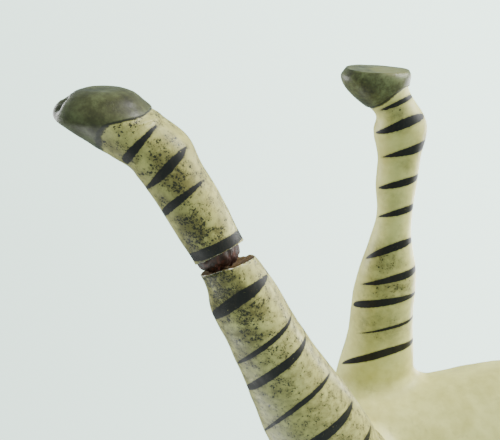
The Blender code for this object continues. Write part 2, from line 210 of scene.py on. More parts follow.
hindRows = (
    (-0.01376, 0.0000, 0.0130, 0.0112, 0), (-0.009, 0.0000, 0.0137, 0.0118, 0),
    (0.012, 0.0000, 0.0142, 0.0122, 0),
    (0.034, 0.0055, 0.0102, 0.0102, -30), (0.057, 0.0090, 0.0088, 0.0088, None),
    (0.096, 0.0130, 0.0110, 0.0098, None), (0.160, 0.0150, 0.0094, 0.0088, None),
    (0.252, 0.0180, 0.0088, 0.0084, None), (0.358, 0.0210, 0.0096, 0.0090, None),
    (0.422, 0.0230, 0.0125, 0.0100, None), (0.472, 0.0220, 0.0145, 0.0108, None),
    (0.541, 0.0170, 0.0140, 0.0114, None), (0.619, 0.0110, 0.0170, 0.0130, None),
    (0.711, 0.0050, 0.0225, 0.0155, None), (0.817, 0.0020, 0.0280, 0.0185, None),
    (0.917, 0.0020, 0.0265, 0.0180, None), (1.000, 0.0020, 0.0165, 0.0120, 0))
hindLegLeft = {"rows": hindRows, "hoofY": 0.196, "side": 1, "halfTrack": 0.028, "lean": -0.006,
               "coronet": 0.036}
hindLegRight = {"rows": hindRows, "hoofY": 0.222, "side": -1, "halfTrack": 0.028, "lean": -0.030,
                "coronet": 0.036}


def legLine(leg, share):
    rows = leg["rows"]
    stations = np.array([r[0] for r in rows])
    y = np.array([leg["hoofY"] + r[1] + leg["lean"] * r[0] for r in rows])
    z = stations * statue["legLength"] + statue["soleDepth"]
    tilt = []
    for k, r in enumerate(rows):
        low, high = max(k - 1, 0), min(k + 1, len(rows) - 1)
        own = math.atan2(y[low] - y[high], z[high] - z[low])
        tilt.append(own if r[4] is None else math.radians(r[4]))
    x = leg["side"] * (leg["halfTrack"] + (statue["shoulderHalfTrack"] - leg["halfTrack"]) * share)
    centre = np.stack([x, smoothCurve(stations, y, share) + benchY, smoothCurve(stations, z, share)], -1)
    halfDepth = smoothCurve(stations, [r[2] for r in rows], share)
    halfWidth = smoothCurve(stations, [r[3] for r in rows], share)
    return centre, halfDepth, halfWidth, smoothCurve(stations, tilt, share)


cutting = {
    "squareness": 2.2,   # knife-cut legs are a little flat on the sides
    "coronetStep": 0.75 * mm,
    "sides": 168, "loopStep": 0.6 * mm,
    "knifeFacet": 10 * mm, "facetDepth": 0.30 * mm,
    "ripple": 3.6 * mm, "rippleDepth": 0.09 * mm,
}


hoofLine = {
    "sideAngles": (160, 20), "sideSpread": 44, "coronetDip": 0.006,   # lower on both sides
    "heelAngle": 90, "heelSpread": 50, "heelDrop": 0.010,             # and lower at the back
    "ledge": 0.003, "ledgeFade": (0.05, 0.01),                        # the hoof's edge stands proud
}


def degreesApart(angles, angle):
    return (angles - angle + 180) % 360 - 180


def coronetLine(leg, angles):
    # where the hoof ends, as a share of the leg
    near = sum(np.exp(-(degreesApart(angles, side) / hoofLine["sideSpread"]) ** 2)
               for side in hoofLine["sideAngles"])
    heel = np.exp(-((angles - hoofLine["heelAngle"]) / hoofLine["heelSpread"]) ** 2)
    dip, drop = (leg.get(key, hoofLine[key]) for key in ("coronetDip", "heelDrop"))
    return leg["coronet"] - dip * near - drop * heel


def legLoops(leg, low, high):
    # points of the skin between two shares of the length, with each point's height and angle
    count = int((high - low) * statue["legLength"] / cutting["loopStep"])
    share = np.linspace(low, high, count)
    centre, halfDepth, halfWidth, tilt = legLine(leg, share)
    depth, _ = axes(tilt)
    angle = ringAngles(cutting["sides"])
    n = cutting["squareness"]
    c, s = np.cos(angle), np.sin(angle)
    square = (np.abs(c) ** n + np.abs(s) ** n) ** (-1 / n)
    line = coronetLine(leg, np.degrees(angle))[None]
    ledge, (fadeEnd, fadeStart) = hoofLine["ledge"], hoofLine["ledgeFade"]
    step = (cutting["coronetStep"] * ramp(line - ledge, line + ledge, share[:, None])
            * ramp(line + fadeEnd, line + fadeStart, share[:, None]))
    across = (halfWidth[:, None] - step) * (c * square)
    along = (halfDepth[:, None] - step) * (s * square)
    out = across[..., None] * np.array([1.0, 0, 0]) + along[..., None] * depth[:, None, :]
    heights = np.repeat(share[:, None] * statue["legLength"] / mm, cutting["sides"], 1)
    return centre[:, None, :] + out, heights, np.repeat(np.degrees(angle)[None], count, 0)


brokenFloor = ((0.55, 1.5 * mm), (0.45, 0.6 * mm))   # share and size of the lumps


def closeLoops(loop, up, count, depth, rough, seed):
    # loops from a rim inward: a dish of some depth along up, with a broken or a rubbed floor
    middle = loop.mean(0)
    loops = []
    for t in np.linspace(1, 0.05, count + 1)[1:]:
        p = middle + (loop - middle) * t
        inPlane = p - ((p - middle) @ up)[:, None] * up
        floor = sum(part * lumps(inPlane, size, seed + i) for i, (part, size) in enumerate(brokenFloor))
        lift = depth * (1 - t**2) + rough * floor * float(ramp(1, 0.93, t))
        loops.append(p + lift[:, None] * up)
    return np.array(loops)


def closeSole(loop, seed):
    return closeLoops(loop, np.array([0, 0, 1.0]), solePaint["loops"], 0.0, solePaint["rough"], seed)[::-1]


# A brush stroke round a form: three places as (mm along it, angle round it), and its width in mm.
# On a leg the mm count up from the sole; 90 is the back, 180 the right-hand side, 270 the front.
strokesRightFore = (
    ((13.0, 228), (13.0, 164), (14.0, 104), 2.9, 0.62),
    ((24.0, 250), (20.5, 172), (19.5, 112), 3.4, 1.3),
    ((34.0, 250), (29.5, 168), (29.0, 104), 3.2, 0.62),
    ((51.6, 262), (51.6, 158), (52.6, 62), 7.4, 1.0),
    ((79.0, 258), (70.0, 172), (70.0, 88), 5.4, 0.7),
    ((100.0, 240), (91.0, 164), (90.5, 84), 2.9, 0.75),
    ((118.0, 262), (103.5, 170), (103.0, 86), 4.9, 0.8),
    ((146.5, 262), (122.5, 168), (124.0, 92), 3.0, 1.1),
    ((160.0, 254), (143.0, 172), (142.0, 98), 6.0, 1.2),
    ((183.0, 250), (162.5, 172), (161.0, 94), 6.0),
)
strokesLeftFore = (
    ((10.0, 236), (10.0, 182), (12.0, 100), 2.6, 1.2),
    ((21.0, 258), (18.0, 192), (19.0, 108), 4.4, 0.9),
    ((34.0, 248), (30.5, 186), (29.5, 84), 4.8, 1.5),
    ((50.0, 254), (46.0, 194), (44.5, 92), 4.2, 1.1),
    ((66.5, 264), (61.0, 196), (61.0, 84), 4.2, 1.4),
    ((90.0, 260), (81.0, 205), (79.5, 92), 5.0, 0.8),
    ((104.0, 246), (97.0, 190), (95.5, 88), 4.6, 1.1),
    ((119.5, 262), (111.0, 200), (110.0, 102), 5.0, 0.6),
    ((134.5, 236), (127.5, 184), (127.0, 94), 2.4, 1.2),
    ((163.0, 262), (146.0, 202), (144.5, 98), 5.8, 0.8),
)
strokesHind = (
    ((13.5, 238), (12.5, 182), (14.5, 112), 3.0),
    ((24.5, 252), (22.0, 184), (22.0, 110), 4.4),
    ((37.5, 246), (34.5, 184), (34.5, 104), 4.2),
    ((51.5, 254), (48.5, 186), (47.5, 108), 4.2),
    ((65.5, 256), (62.0, 184), (63.0, 100), 4.0),
    ((81.0, 250), (76.5, 184), (77.5, 104), 4.6),
    ((97.0, 258), (91.5, 184), (92.5, 98), 5.2),
    ((114.5, 250), (109.0, 184), (107.5, 104), 5.0),
    ((133.5, 254), (126.5, 184), (123.5, 104), 5.6),
    ((152.5, 250), (145.0, 184), (139.5, 106), 6.0),
    ((172.0, 248), (163.0, 184), (157.5, 106), 6.4),
    ((192.0, 244), (182.0, 184), (175.5, 106), 6.4),
)


unpainted = 9.0        # mm from any paint edge
strokeOverhang = 0.12  # mm that a brush stroke's edge is pulled in


def strokeDistance(strokes, along, angles, mirrored=False, girth=11.0, shift=0.0, stretch=1.0):
    # mm from the nearest stroke's edge, below 0 on the paint; girth is the form's radius in mm, and
    # shift moves the mirrored strokes along
    best = np.full(along.shape, unpainted)
    for (s0, a0), (s1, a1), (s2, a2), width, *form in strokes:
        belly = form[0] if form else 0.85   # under 1 the stroke is fattest at its front end
        for flip in ((False, True) if mirrored else (False,)):
            turned = np.mod(180 - angles if flip else angles, 360)
            turned = np.where(turned < min(a0, a2) - 90, turned + 360, turned)
            u = (a0 - turned) / (a0 - a2)
            mid = (a0 - a1) / (a0 - a2)
            bend = (s0 * (u - mid) * (u - 1) / mid + s1 * u * (u - 1) / (mid * (mid - 1))
                    + s2 * u * (u - mid) / (1 - mid))
            inside = np.clip(u, 0, 1)
            swell = np.clip(np.sin(math.pi * inside**belly), 0, 1) ** 0.62
            past = np.maximum(np.maximum(-u, u - 1), 0) * math.radians(abs(a0 - a2)) * girth
            away = np.abs(along + (shift if flip else 0) - bend) * stretch
            best = np.minimum(best, np.hypot(away, past) - width / 2 * swell + strokeOverhang)
    return best


def legStretch(leg, heights):
    # true mm along a slanting leg for each mm of height
    share = heights * mm / statue["legLength"]
    ahead, behind = legLine(leg, share + 0.004)[0], legLine(leg, share - 0.004)[0]
    return np.linalg.norm(ahead - behind, axis=-1) / (0.008 * statue["legLength"])


paintLayers = ("stroke", "hoof", "grime", "bare", "gesso", "dark", "worn")


def layPaint(thing, **layers):
    # values a point of the piece, in mm for stroke and hoof, 0 to 1 for the others
    bare = {"stroke": unpainted, "hoof": unpainted}
    for name in paintLayers:
        values = layers.get(name)
        if values is None:
            values = np.full(len(thing.data.vertices), bare.get(name, 0.0))
        writeAttribute(thing, name, values)


legGirth = 10.0   # mm from the middle of a leg to its skin, near enough for dirt


def dirtOn(heights, angles, spots, allOver=0.0):
    # each spot is height in mm, angle, reach in mm and strength
    dirt = np.full_like(heights, allOver)
    for height, angle, reach, strength in spots:
        around = np.radians(degreesApart(angles, angle)) * legGirth
        dirt = np.maximum(dirt, strength * np.exp(-((heights - height) ** 2 + around**2) / reach**2))
    return dirt


trunkRows = (
    (0.000, 0.008, 0.020, 0.017), (0.039, 0.006, 0.036, 0.029), (0.116, 0.004, 0.048, 0.038),
    (0.221, 0.003, 0.052, 0.042), (0.357, -0.004, 0.055, 0.0445), (0.492, -0.011, 0.058, 0.046),
    (0.628, -0.009, 0.056, 0.045), (0.764, -0.001, 0.050, 0.042), (0.880, 0.004, 0.043, 0.037),
    (0.957, 0.006, 0.032, 0.028), (1.000, 0.007, 0.017, 0.015))
neckRows = (
    (0.00, 0.0370, 0.0230), (0.20, 0.0365, 0.0225), (0.42, 0.0325, 0.0198), (0.64, 0.0280, 0.0172),
    (0.86, 0.0240, 0.0152), (1.00, 0.0180, 0.0122))
headRows = (
    (-0.010, 0.0140, 0.0110), (0.000, 0.0205, 0.0150), (0.018, 0.0235, 0.0170),
    (0.038, 0.0210, 0.0160), (0.057, 0.0165, 0.0130), (0.075, 0.0138, 0.0112),
    (0.089, 0.0125, 0.0107), (0.100, 0.0085, 0.0078))

neckLean = math.radians(statue["neckLean"])
neckPath = np.array([0.0, -math.sin(neckLean), math.cos(neckLean)])
neckBack = np.array([0.0, math.cos(neckLean), math.sin(neckLean)])
neckRoot = np.array([0.0, statue["neckSeat"][0] + benchY, statue["neckSeat"][1]])
poll = neckRoot + neckPath * statue["neckLength"] * statue["pollShare"]
headTilt = math.radians(statue["headTilt"])
headUp = np.array([0.0, math.cos(headTilt), math.sin(headTilt)])
headAlong = np.array([0.0, -math.sin(headTilt), math.cos(headTilt)])


def roundForm(across, halfAcross, up, halfUp, past):
    # distance from an oval tube, good near its skin
    reach = np.sqrt((across / halfAcross) ** 2 + (up / halfUp) ** 2)
    return np.maximum((reach - 1) * np.minimum(halfAcross, halfUp), past)


def trunkDistance(p):
    share = (p[:, 1] - benchY - statue["trunkFront"]) / statue["trunkLength"]
    s, rise, hh, hw = np.array(trunkRows).T
    up = p[:, 2] - statue["legTop"] - smoothCurve(s, rise, share)
    past = np.maximum(-share, share - 1) * statue["trunkLength"]
    return roundForm(p[:, 0], smoothCurve(s, hw, share), up, smoothCurve(s, hh, share), past)


def neckDistance(p):
    share = (p - neckRoot) @ neckPath / statue["neckLength"]
    s, hd, hw = np.array(neckRows).T
    past = np.maximum(-share, share - 1) * statue["neckLength"]
    return roundForm(p[:, 0], smoothCurve(s, hw, share), (p - neckRoot) @ neckBack,
                     smoothCurve(s, hd, share), past)


def headDistance(p):
    along = (p - poll) @ headAlong
    s, hh, hw = np.array(headRows).T
    past = np.maximum(s[0] - along, along - s[-1])
    return roundForm(p[:, 0], smoothCurve(s, hw, along), (p - poll) @ headUp,
                     smoothCurve(s, hh, along), past)


def legDistance(leg):
    share = np.linspace(soleShare, 1, 120)
    centre, halfDepth, halfWidth, tilt = legLine(leg, share)

    def distance(p):
        z = p[:, 2]
        x = np.interp(z, centre[:, 2], centre[:, 0])
        y = np.interp(z, centre[:, 2], centre[:, 1])
        hw = np.interp(z, centre[:, 2], halfWidth)
        hd = np.interp(z, centre[:, 2], halfDepth / np.cos(tilt))
        return roundForm(p[:, 0] - x, hw, p[:, 1] - y, hd, z - centre[-1, 2])
    return distance


forms = {
    "trunk": trunkDistance, "neck": neckDistance, "head": headDistance,
    "leftFore": legDistance(foreLegLeft), "rightFore": legDistance(foreLegRight),
    "leftHind": legDistance(hindLegLeft), "rightHind": legDistance(hindLegRight),
}
filletSize = 10 * mm


def blendedDistance(p, names, fillet):
    total = forms[names[0]](p)
    for name in names[1:]:
        other = forms[name](p)
        h = np.maximum(fillet - np.abs(total - other), 0) / fillet
        total = np.minimum(total, other) - h * h * fillet / 4
    return total


def settle(points, own, others, fillet=filletSize):
    # carve the crease between neighbouring forms into one soft hollow
    p = points.copy()
    names = list(own) + list(others)
    near = np.min([forms[n](p) for n in others], axis=0)
    pick = np.where((near < fillet) & (near > -fillet * 0.6))[0]
    q = p[pick]
    reach = 0.4 * mm
    for _ in range(4):
        f = blendedDistance(q, names, fillet)
        slope = np.stack([(blendedDistance(q + step, names, fillet)
                           - blendedDistance(q - step, names, fillet)) / (2 * reach)
                          for step in np.eye(3) * reach], -1)
        size = np.maximum((slope**2).sum(1), 0.2)
        move = np.clip(f / size, -3 * mm, 3 * mm)
        q = q - slope * move[:, None]
    mine = np.min([forms[n](q) for n in own], axis=0)
    theirs = np.min([forms[n](q) for n in others], axis=0)
    sink = 0.35 * mm * ramp(0, 2.5 * mm, mine - theirs)
    q = q - slope / np.sqrt(size)[:, None] * sink[:, None]
    share = ramp(fillet, fillet * 0.4, near[pick])
    p[pick] += (q - p[pick]) * share[:, None]
    return p


def placeMesh(thing, points):
    thing.data.vertices.foreach_set("co", np.asarray(points, np.float32).ravel())
    thing.data.update()


def readPoints(thing):
    co = np.empty(len(thing.data.vertices) * 3, np.float32)
    thing.data.vertices.foreach_get("co", co)
    return co.reshape(-1, 3).astype(float)


def readNormals(thing):
    n = np.empty(len(thing.data.vertices) * 3, np.float32)
    thing.data.vertex_normals.foreach_get("vector", n)
    return n.reshape(-1, 3).astype(float)


def cutByKnife(thing, strength=1.0):
    # the same cuts run on from piece to piece
    p = readPoints(thing)
    cuts = (cutting["facetDepth"] * lumps(p, cutting["knifeFacet"], 3)
            + cutting["rippleDepth"] * lumps(p, cutting["ripple"], 5))
    placeMesh(thing, p + readNormals(thing) * (cuts * strength)[:, None])


def settleAndCut(thing, own, others, strength=1.0):
    placeMesh(thing, settle(readPoints(thing), own, others))
    cutByKnife(thing, strength)


print("carving the legs")

grimeRightFore = ((12, 200, 6, 0.85), (20, 168, 7, 1.0), (25, 160, 7, 1.15), (27, 205, 7, 0.75),
                  (33, 190, 8, 0.75), (38, 184, 6, 1.3), (42, 186, 6, 1.8), (47, 189, 6, 1.8),
                  (52, 192, 6, 1.7), (44, 150, 10, 0.8), (52, 158, 9, 0.9), (50, 225, 8, 0.8),
                  (62, 200, 9, 1.6), (68, 188, 8, 1.5), (72, 215, 9, 1.1), (76, 165, 9, 0.9),
                  (86, 196, 9, 1.0), (96, 205, 10, 0.8), (112, 190, 12, 0.7))
grimeLeftFore = ((14, 190, 8, 0.5), (28, 110, 8, 0.55), (86, 205, 11, 0.6), (102, 180, 12, 0.6),
                 (126, 190, 12, 0.5), (36, 180, 5, 0.3), (56, 190, 8, 0.25))
grimeHind = ((14, 190, 8, 0.5), (30, 220, 8, 0.3), (80, 200, 9, 0.4), (120, 170, 14, 0.3))

brokenLeg = {
    "gap": 6.6 * mm,        # between the two rims along the leg
    "slant": 4.2 * mm,      # the break runs lower on the outer side, higher inside
    "frontLip": 0.8 * mm,   # each rim reaches this much further in front
    "splinter": 0.55 * mm,  # raggedness of the rims
    "plugFront": 0.13,      # how far the core leans to the front, as a share of the radius
    "plugReach": 0.84,
    "stubHollow": 1.9 * mm, "stubRough": 0.42 * mm,
    "footBulge": -0.9 * mm, "footRough": 0.35 * mm,
    "dirtAllOver": 0.56,
    "stubChalk": (0.3, 0.60), "footChalk": (0.4, 0.62),   # gesso at the rims: mm wide, strength
    # painted shade: the bare wood of the stub's broken end is darkened for the gap under the core
    "stubEndShadow": 0.55,
}
breakCentre, breakHalfDepth, breakHalfWidth, breakTilt = legLine(
    foreLegRight, np.array([foreLegRight["breakShare"]]))
breakDepth, breakUp = (v[0] for v in axes(breakTilt))
breakCentre = breakCentre[0]
halfGapShare = brokenLeg["gap"] / 2 * breakUp[2] / statue["legLength"]


def rimRag(loops, heights, angles, rimHeight, towards, seed):
    # pull the last few mm of a broken rim along the leg, more at the front
    near = np.exp(-np.abs(heights - rimHeight) / 2.2)
    around = np.radians(angles[0])
    circle = np.stack([np.cos(around), np.sin(around), np.zeros_like(around)], -1) * 10 * mm
    rag = (lumps(circle, 2.6 * mm, seed) * 0.6 + lumps(circle, 0.9 * mm, seed + 1) * 0.4)
    front = np.clip(-np.sin(around), -1, 1)
    pull = towards * (brokenLeg["splinter"] * rag + brokenLeg["frontLip"] * front)
    slant = brokenLeg["slant"] * np.cos(around) * np.exp(-np.abs(heights - rimHeight) / 5.5)
    return loops + (near * pull[None] + slant)[..., None] * breakUp


def buildStub():
    low = foreLegRight["breakShare"] + halfGapShare
    loops, heights, angles = legLoops(foreLegRight, low, legEnd)
    loops = rimRag(loops, heights, angles, heights[0, 0], -1.0, 11)
    ends = closeLoops(loops[0], breakUp, 26, brokenLeg["stubHollow"], brokenLeg["stubRough"], 21)[::-1]
    piece = loopMesh("foreleg_stub", np.concatenate([ends, loops]))
    settleAndCut(piece, ["rightFore"], ["trunk"])
    n = len(ends)
    allHeights = np.concatenate([np.repeat(heights[:1], n, 0), heights])
    allAngles = np.concatenate([np.repeat(angles[:1], n, 0), angles])
    onEnd = np.concatenate([np.ones((n, cutting["sides"])), np.zeros_like(heights)])
    width, chalk = brokenLeg["stubChalk"]
    rim = chalk * np.exp(-(allHeights - heights[0, 0]) / width) * (1 - onEnd)
    stroke = strokeDistance(strokesRightFore, allHeights, allAngles, True,
                            stretch=legStretch(foreLegRight, allHeights[:, :1]))
    # the broken end is bare wood, darkened as painted shade
    layPaint(piece, stroke=withEnds(np.where(onEnd > 0, unpainted, stroke)),
             grime=withEnds(dirtOn(allHeights, allAngles, grimeRightFore, brokenLeg["dirtAllOver"])),
             bare=withEnds(onEnd), dark=withEnds(brokenLeg["stubEndShadow"] * onEnd), gesso=withEnds(rim))
    return piece


toeNotch = {
    "fromMiddle": 9.6 * mm, "slope": 0.25, "wobble": 0.5 * mm,
    "width": 0.85 * mm, "depth": 2.9 * mm, "nubRise": 0.3 * mm,
    "sideFrom": 3 * mm, "sideTo": -4 * mm,          # only on the outer side
    "heightFrom": 6.5 * mm, "heightTo": 3.5 * mm,   # and only near the sole
    # how dark the slit is painted: shade in the cut
    "shade": 0.9,
}


def notchHoof(loops, hoofY):
    # a cut across the toe leaves a little nub in front of it; the slit mask also paints the cut's shade
    p = loops.reshape(-1, 3)
    middle = np.array([-foreLegRight["halfTrack"], hoofY + benchY, 5 * mm])
    away = (p[:, 1] - middle[1] + toeNotch["fromMiddle"] + toeNotch["slope"] * p[:, 2]
            + toeNotch["wobble"] * lumps(p, 2 * mm, 71))
    where = (ramp(toeNotch["sideFrom"], toeNotch["sideTo"], p[:, 0] - middle[0])
             * ramp(toeNotch["heightFrom"], toeNotch["heightTo"], p[:, 2]))
    slit = np.exp(-(away / toeNotch["width"]) ** 2) * where
    bared = (np.exp(-((away - 0.8 * mm) / (0.35 * mm)) ** 2) * where
             * ramp(0.45, 0.8, lumps(p, 2.2 * mm, 72)))
    nub = ramp(-1.0 * mm, -2.2 * mm, away) * where
    inward = middle - p
    inward /= np.linalg.norm(inward, axis=1, keepdims=True)
    p = p + inward * (slit * toeNotch["depth"] - nub * toeNotch["nubRise"])[:, None]
    return (v.reshape(loops.shape[:2] + v.shape[1:]) for v in (p, bared, slit))


def buildFoot():
    high = foreLegRight["breakShare"] - halfGapShare
    loops, heights, angles = legLoops(foreLegRight, soleShare, high)
    loops = rimRag(loops, heights, angles, heights[-1, 0], 1.0, 14)
    loops, bared, slit = notchHoof(loops, foreLegRight["hoofY"])
    sole = closeSole(loops[0], 31)
    top = closeLoops(loops[-1], breakUp, 22, brokenLeg["footBulge"], brokenLeg["footRough"], 24)
    piece = loopMesh("fore_foot", np.concatenate([sole, loops, top]))
    cutByKnife(piece, 0.8)
    full = np.concatenate([np.full((len(sole), cutting["sides"]), heights[0, 0]), heights,
                           np.repeat(heights[-1:], len(top), 0)])
    turn = np.repeat(angles[:1], len(full), 0)
    onTop = np.zeros_like(full)
    onTop[-len(top):] = 1.0
    width, chalk = brokenLeg["footChalk"]
    rim = chalk * np.exp(-(heights[-1, 0] - full) / width) * (1 - onTop)
    stroke = strokeDistance(strokesRightFore, full, turn, True,
                            stretch=legStretch(foreLegRight, full[:, :1]))
    bare = np.zeros_like(full)
    bare[len(sole):len(sole) + len(heights)] = bared
    # painted shade: the broken top under the core goes near black
    shadow = onTop.copy()
    # painted shade: the toe slit is darkened
    shadow[len(sole):len(sole) + len(heights)] = toeNotch["shade"] * slit
    layPaint(piece, stroke=withEnds(np.where(onTop > 0, unpainted, stroke)),
             hoof=withEnds(full - coronetLine(foreLegRight, turn) * statue["legLength"] / mm),
             grime=withEnds(dirtOn(full, turn, grimeRightFore, brokenLeg["dirtAllOver"])),
             bare=withEnds(bare), gesso=withEnds(rim), dark=withEnds(shadow))
    return piece


core = {
    # of the leg's half width and depth at the break
    "fill": 0.95, "sideReach": 0.93, "wobble": 0.10, "squareness": 3.2, "shoulder": 0.6, "backSlope": 0.16,
    "sunk": 0.7 * mm, "above": 1.6 * mm, "rough": 0.8 * mm, "fineRough": 0.5 * mm,
    "skirt": 1.5 * mm,
}


def buildPlug():
    # the dark core that stayed on the foot: a torn lump leaning to the front
    sides, count = 120, 46
    angle = ringAngles(sides)
    loops = []
    base = breakCentre - breakUp * brokenLeg["gap"] / 2
    for t in np.linspace(1.0, 0.03, count):
        u = core["fill"] * t * np.cos(angle)
        v = core["fill"] * t * np.sin(angle)
        off = np.hypot(u / core["sideReach"], (v + brokenLeg["plugFront"]) / brokenLeg["plugReach"])
        p = base + np.outer(u * breakHalfWidth, [1, 0, 0]) + np.outer(v * breakHalfDepth, breakDepth)
        off = off * (1 + core["wobble"] * lumps(p, 3.0 * mm, 43))
        dome = (np.clip(1 - off**core["squareness"], 0, 1) ** core["shoulder"]
                * (1 - core["backSlope"] * (v + 1) / 2))
        rough = lumps(p, 2.2 * mm, 41) * core["rough"] + lumps(p, 0.8 * mm, 42) * core["fineRough"]
        height = -core["sunk"] + dome * (brokenLeg["gap"] + core["above"]) + rough * np.minimum(dome * 3, 1)
        height = height + brokenLeg["slant"] * u
        loops.append(p + np.outer(height, breakUp))
    under = np.array([loops[0] - breakUp * core["skirt"]])
    piece = loopMesh("foot_core", np.concatenate([under, np.array(loops)]))
    layPaint(piece)
    return piece


def buildWholeLeg(name, leg, strokes, form, mirrored, grime, worn=None):
    loops, heights, angles = legLoops(leg, soleShare, legEnd)
    sole = closeSole(loops[0], 33)
    piece = loopMesh(name, np.concatenate([sole, loops]))
    settleAndCut(piece, [form], ["trunk"])
    full = np.concatenate([np.full((len(sole), cutting["sides"]), heights[0, 0]), heights])
    turn = np.repeat(angles[:1], len(full), 0)
    points = readPoints(piece)
    rubbed = None
    if worn:
        spot = points - np.array(worn["place"])
        rubbed = ramp(1.0, 0.75, np.linalg.norm(spot / np.array(worn["size"]), axis=1)
                      + 0.12 * lumps(points, 3 * mm, 51))
    stroke = strokeDistance(strokes, full, turn, mirrored, shift=4.0,
                            stretch=legStretch(leg, full[:, :1]))
    layPaint(piece, stroke=withEnds(stroke),
             hoof=withEnds(full - coronetLine(leg, turn) * statue["legLength"] / mm),
             grime=withEnds(dirtOn(full, turn, grime)), worn=rubbed)
    return piece


stub = buildStub()
foot = buildFoot()
plug = buildPlug()
leftFore = buildWholeLeg("left_fore", foreLegLeft, strokesLeftFore, "leftFore", True, grimeLeftFore,
                         {"place": (0.027, benchY + 0.004, 0.0), "size": (0.010, 0.009, 0.003)})
leftHind = buildWholeLeg("left_hind", hindLegLeft, strokesHind, "leftHind", True, grimeHind)
rightHind = buildWholeLeg("right_hind", hindLegRight, strokesHind, "rightHind", True, grimeHind)


print("carving the body")

bodyStrokes = (
    # mm from the chest, angle: 90 on the back, 0 on the flank, negative under the belly
    ((36, 92), (26, 40), (24, -22), 6.5),
    ((58, 92), (50, 38), (46, -18), 7.0),
    ((79, 92), (72, 36), (70, -26), 7.0),
    ((99, 92), (93, 36), (95, -30), 7.4),
    ((119, 92), (115, 34), (119, -34), 7.4),
    ((138, 92), (137, 34), (143, -32), 7.4),
    ((156, 92), (159, 34), (167, -26), 7.2),
    ((173, 92), (181, 36), (190, -12), 7.0),
    ((189, 92), (199, 42), (211, 2), 7.0),
    ((205, 92), (215, 48), (229, 12), 6.4),
    ((221, 92), (230, 56), (242, 24), 5.6),
)
chestStrokes = (((6, 60), (10, 8), (14, -50), 5.0),)
backLine = 2.6   # half the width of the stripe along the back, in mm


def taperedSpan(low, high, count):
    # stations that crowd towards both ends
    t = np.linspace(0, 1, count)
    return low + (high - low) * (0.35 * t + 0.65 * (1 - np.cos(math.pi * t)) / 2)


def roundedEnd(loop, outward, count):
    middle = loop.mean(0)
    return np.array([middle + (loop - middle) * math.cos(t) + outward * math.sin(t)
                     for t in np.linspace(0.1, 1.5, count)])


def buildBody():
    sides, count = 232, 210
    s, rise, hh, hw = np.array(trunkRows).T
    share = taperedSpan(0.0, 1.0, count)[::-1]
    angle = ringAngles(sides)
    y = statue["trunkFront"] + share * statue["trunkLength"] + benchY
    loops = np.zeros((count, sides, 3))
    loops[..., 0] = smoothCurve(s, hw, share)[:, None] * np.cos(angle)
    loops[..., 1] = y[:, None]
    loops[..., 2] = (statue["legTop"] + smoothCurve(s, rise, share)[:, None]
                     + smoothCurve(s, hh, share)[:, None] * np.sin(angle))
    rump = roundedEnd(loops[0], np.array([0, 3 * mm, 0]), 18)
    chest = roundedEnd(loops[-1], np.array([0, -3 * mm, 0]), 18)
    piece = loopMesh("body", np.concatenate([rump[::-1], loops, chest]))
    settleAndCut(piece, ["trunk"], ["neck", "leftFore", "rightFore", "leftHind", "rightHind"])
    p = readPoints(piece)
    along = (p[:, 1] - benchY - statue["trunkFront"]) / mm
    share = along * mm / statue["trunkLength"]
    up = p[:, 2] - statue["legTop"] - smoothCurve(s, rise, share)
    turn = np.degrees(np.arctan2(up / smoothCurve(s, hh, share), p[:, 0] / smoothCurve(s, hw, share)))
    stroke = np.minimum(strokeDistance(bodyStrokes, along, turn, True, girth=48.0, shift=5.0),
                        strokeDistance(chestStrokes, along, turn, True, girth=30.0, shift=2.0))
    fromBackLine = np.abs(p[:, 0]) / mm - backLine
    stroke = np.minimum(stroke, np.where(p[:, 2] > statue["legTop"], fromBackLine, unpainted))
    for leg, strokes in ((foreLegRight, strokesRightFore), (foreLegLeft, strokesLeftFore),
                         (hindLegLeft, strokesHind), (hindLegRight, strokesHind)):
        stroke = np.minimum(stroke, legStrokesAt(p, leg, strokes))
    layPaint(piece, stroke=stroke)
    return piece


def legStrokesAt(p, leg, strokes):
    # a leg's strokes run on over the body where the leg enters it
    share = np.clip((p[:, 2] - statue["soleDepth"]) / statue["legLength"], 0.0, 1.0)
    centre, halfDepth, halfWidth, tilt = legLine(leg, share)
    off = p - centre
    reach = np.hypot(off[:, 0] / halfWidth, off[:, 1] / halfDepth)
    turn = np.mod(np.degrees(np.arctan2(off[:, 1] / halfDepth, off[:, 0] / halfWidth)), 360)
    d = strokeDistance(strokes, p[:, 2] / mm - 3, turn, True, shift=4.0)
    return d + np.maximum(reach - 1.25, 0) * 14 + np.where(p[:, 2] > legEnd * statue["legTop"], unpainted, 0)


body = buildBody()

print("carving the neck and head")

neckStrokes = (
    ((30, 262), (20, 180), (30, 96), 6.0), ((47, 262), (37, 180), (47, 94), 6.0),
    ((63, 262), (54, 180), (64, 94), 5.8), ((79, 262), (71, 180), (80, 94), 5.4),
    ((94, 262), (87, 180), (96, 94), 5.0), ((108, 260), (102, 180), (110, 96), 4.6),
    ((121, 256), (116, 180), (123, 98), 4.0),
)
headStrokes = (
    # mm from the poll along the head; 90 is the forehead, 180 the right cheek, 270 the throat
    ((6, 254), (2, 190), (-2, 130), 3.4), ((16, 250), (13, 205), (9, 168), 3.0),
    ((30, 252), (33, 212), (30, 166), 3.0), ((42, 250), (46, 206), (42, 158), 2.8),
    ((53, 248), (57, 200), (54, 150), 2.6), ((64, 240), (67, 196), (64, 146), 2.4),
    ((8, 128), (12, 112), (14, 95), 2.4), ((24, 132), (28, 116), (30, 96), 2.4),
    ((40, 132), (44, 114), (46, 96), 2.2), ((55, 130), (58, 114), (60, 96), 2.0),
)
face = {
    # mm along the head, up and out
    "eye": (24.0, 8.5, 14.8), "nostril": (88.0, 2.5, 8.6), "mouthHeight": -5.5, "mouthFrom": (68, 76),
    "muzzleFrom": 80.0,
    # cuts and swellings in mm
    "brow": 1.3, "socket": 0.9, "nostrilDepth": 2.4, "nostrilRim": 0.6, "mouthDepth": 1.1,
    "cheek": 1.2, "cheekHollow": 0.9,
}


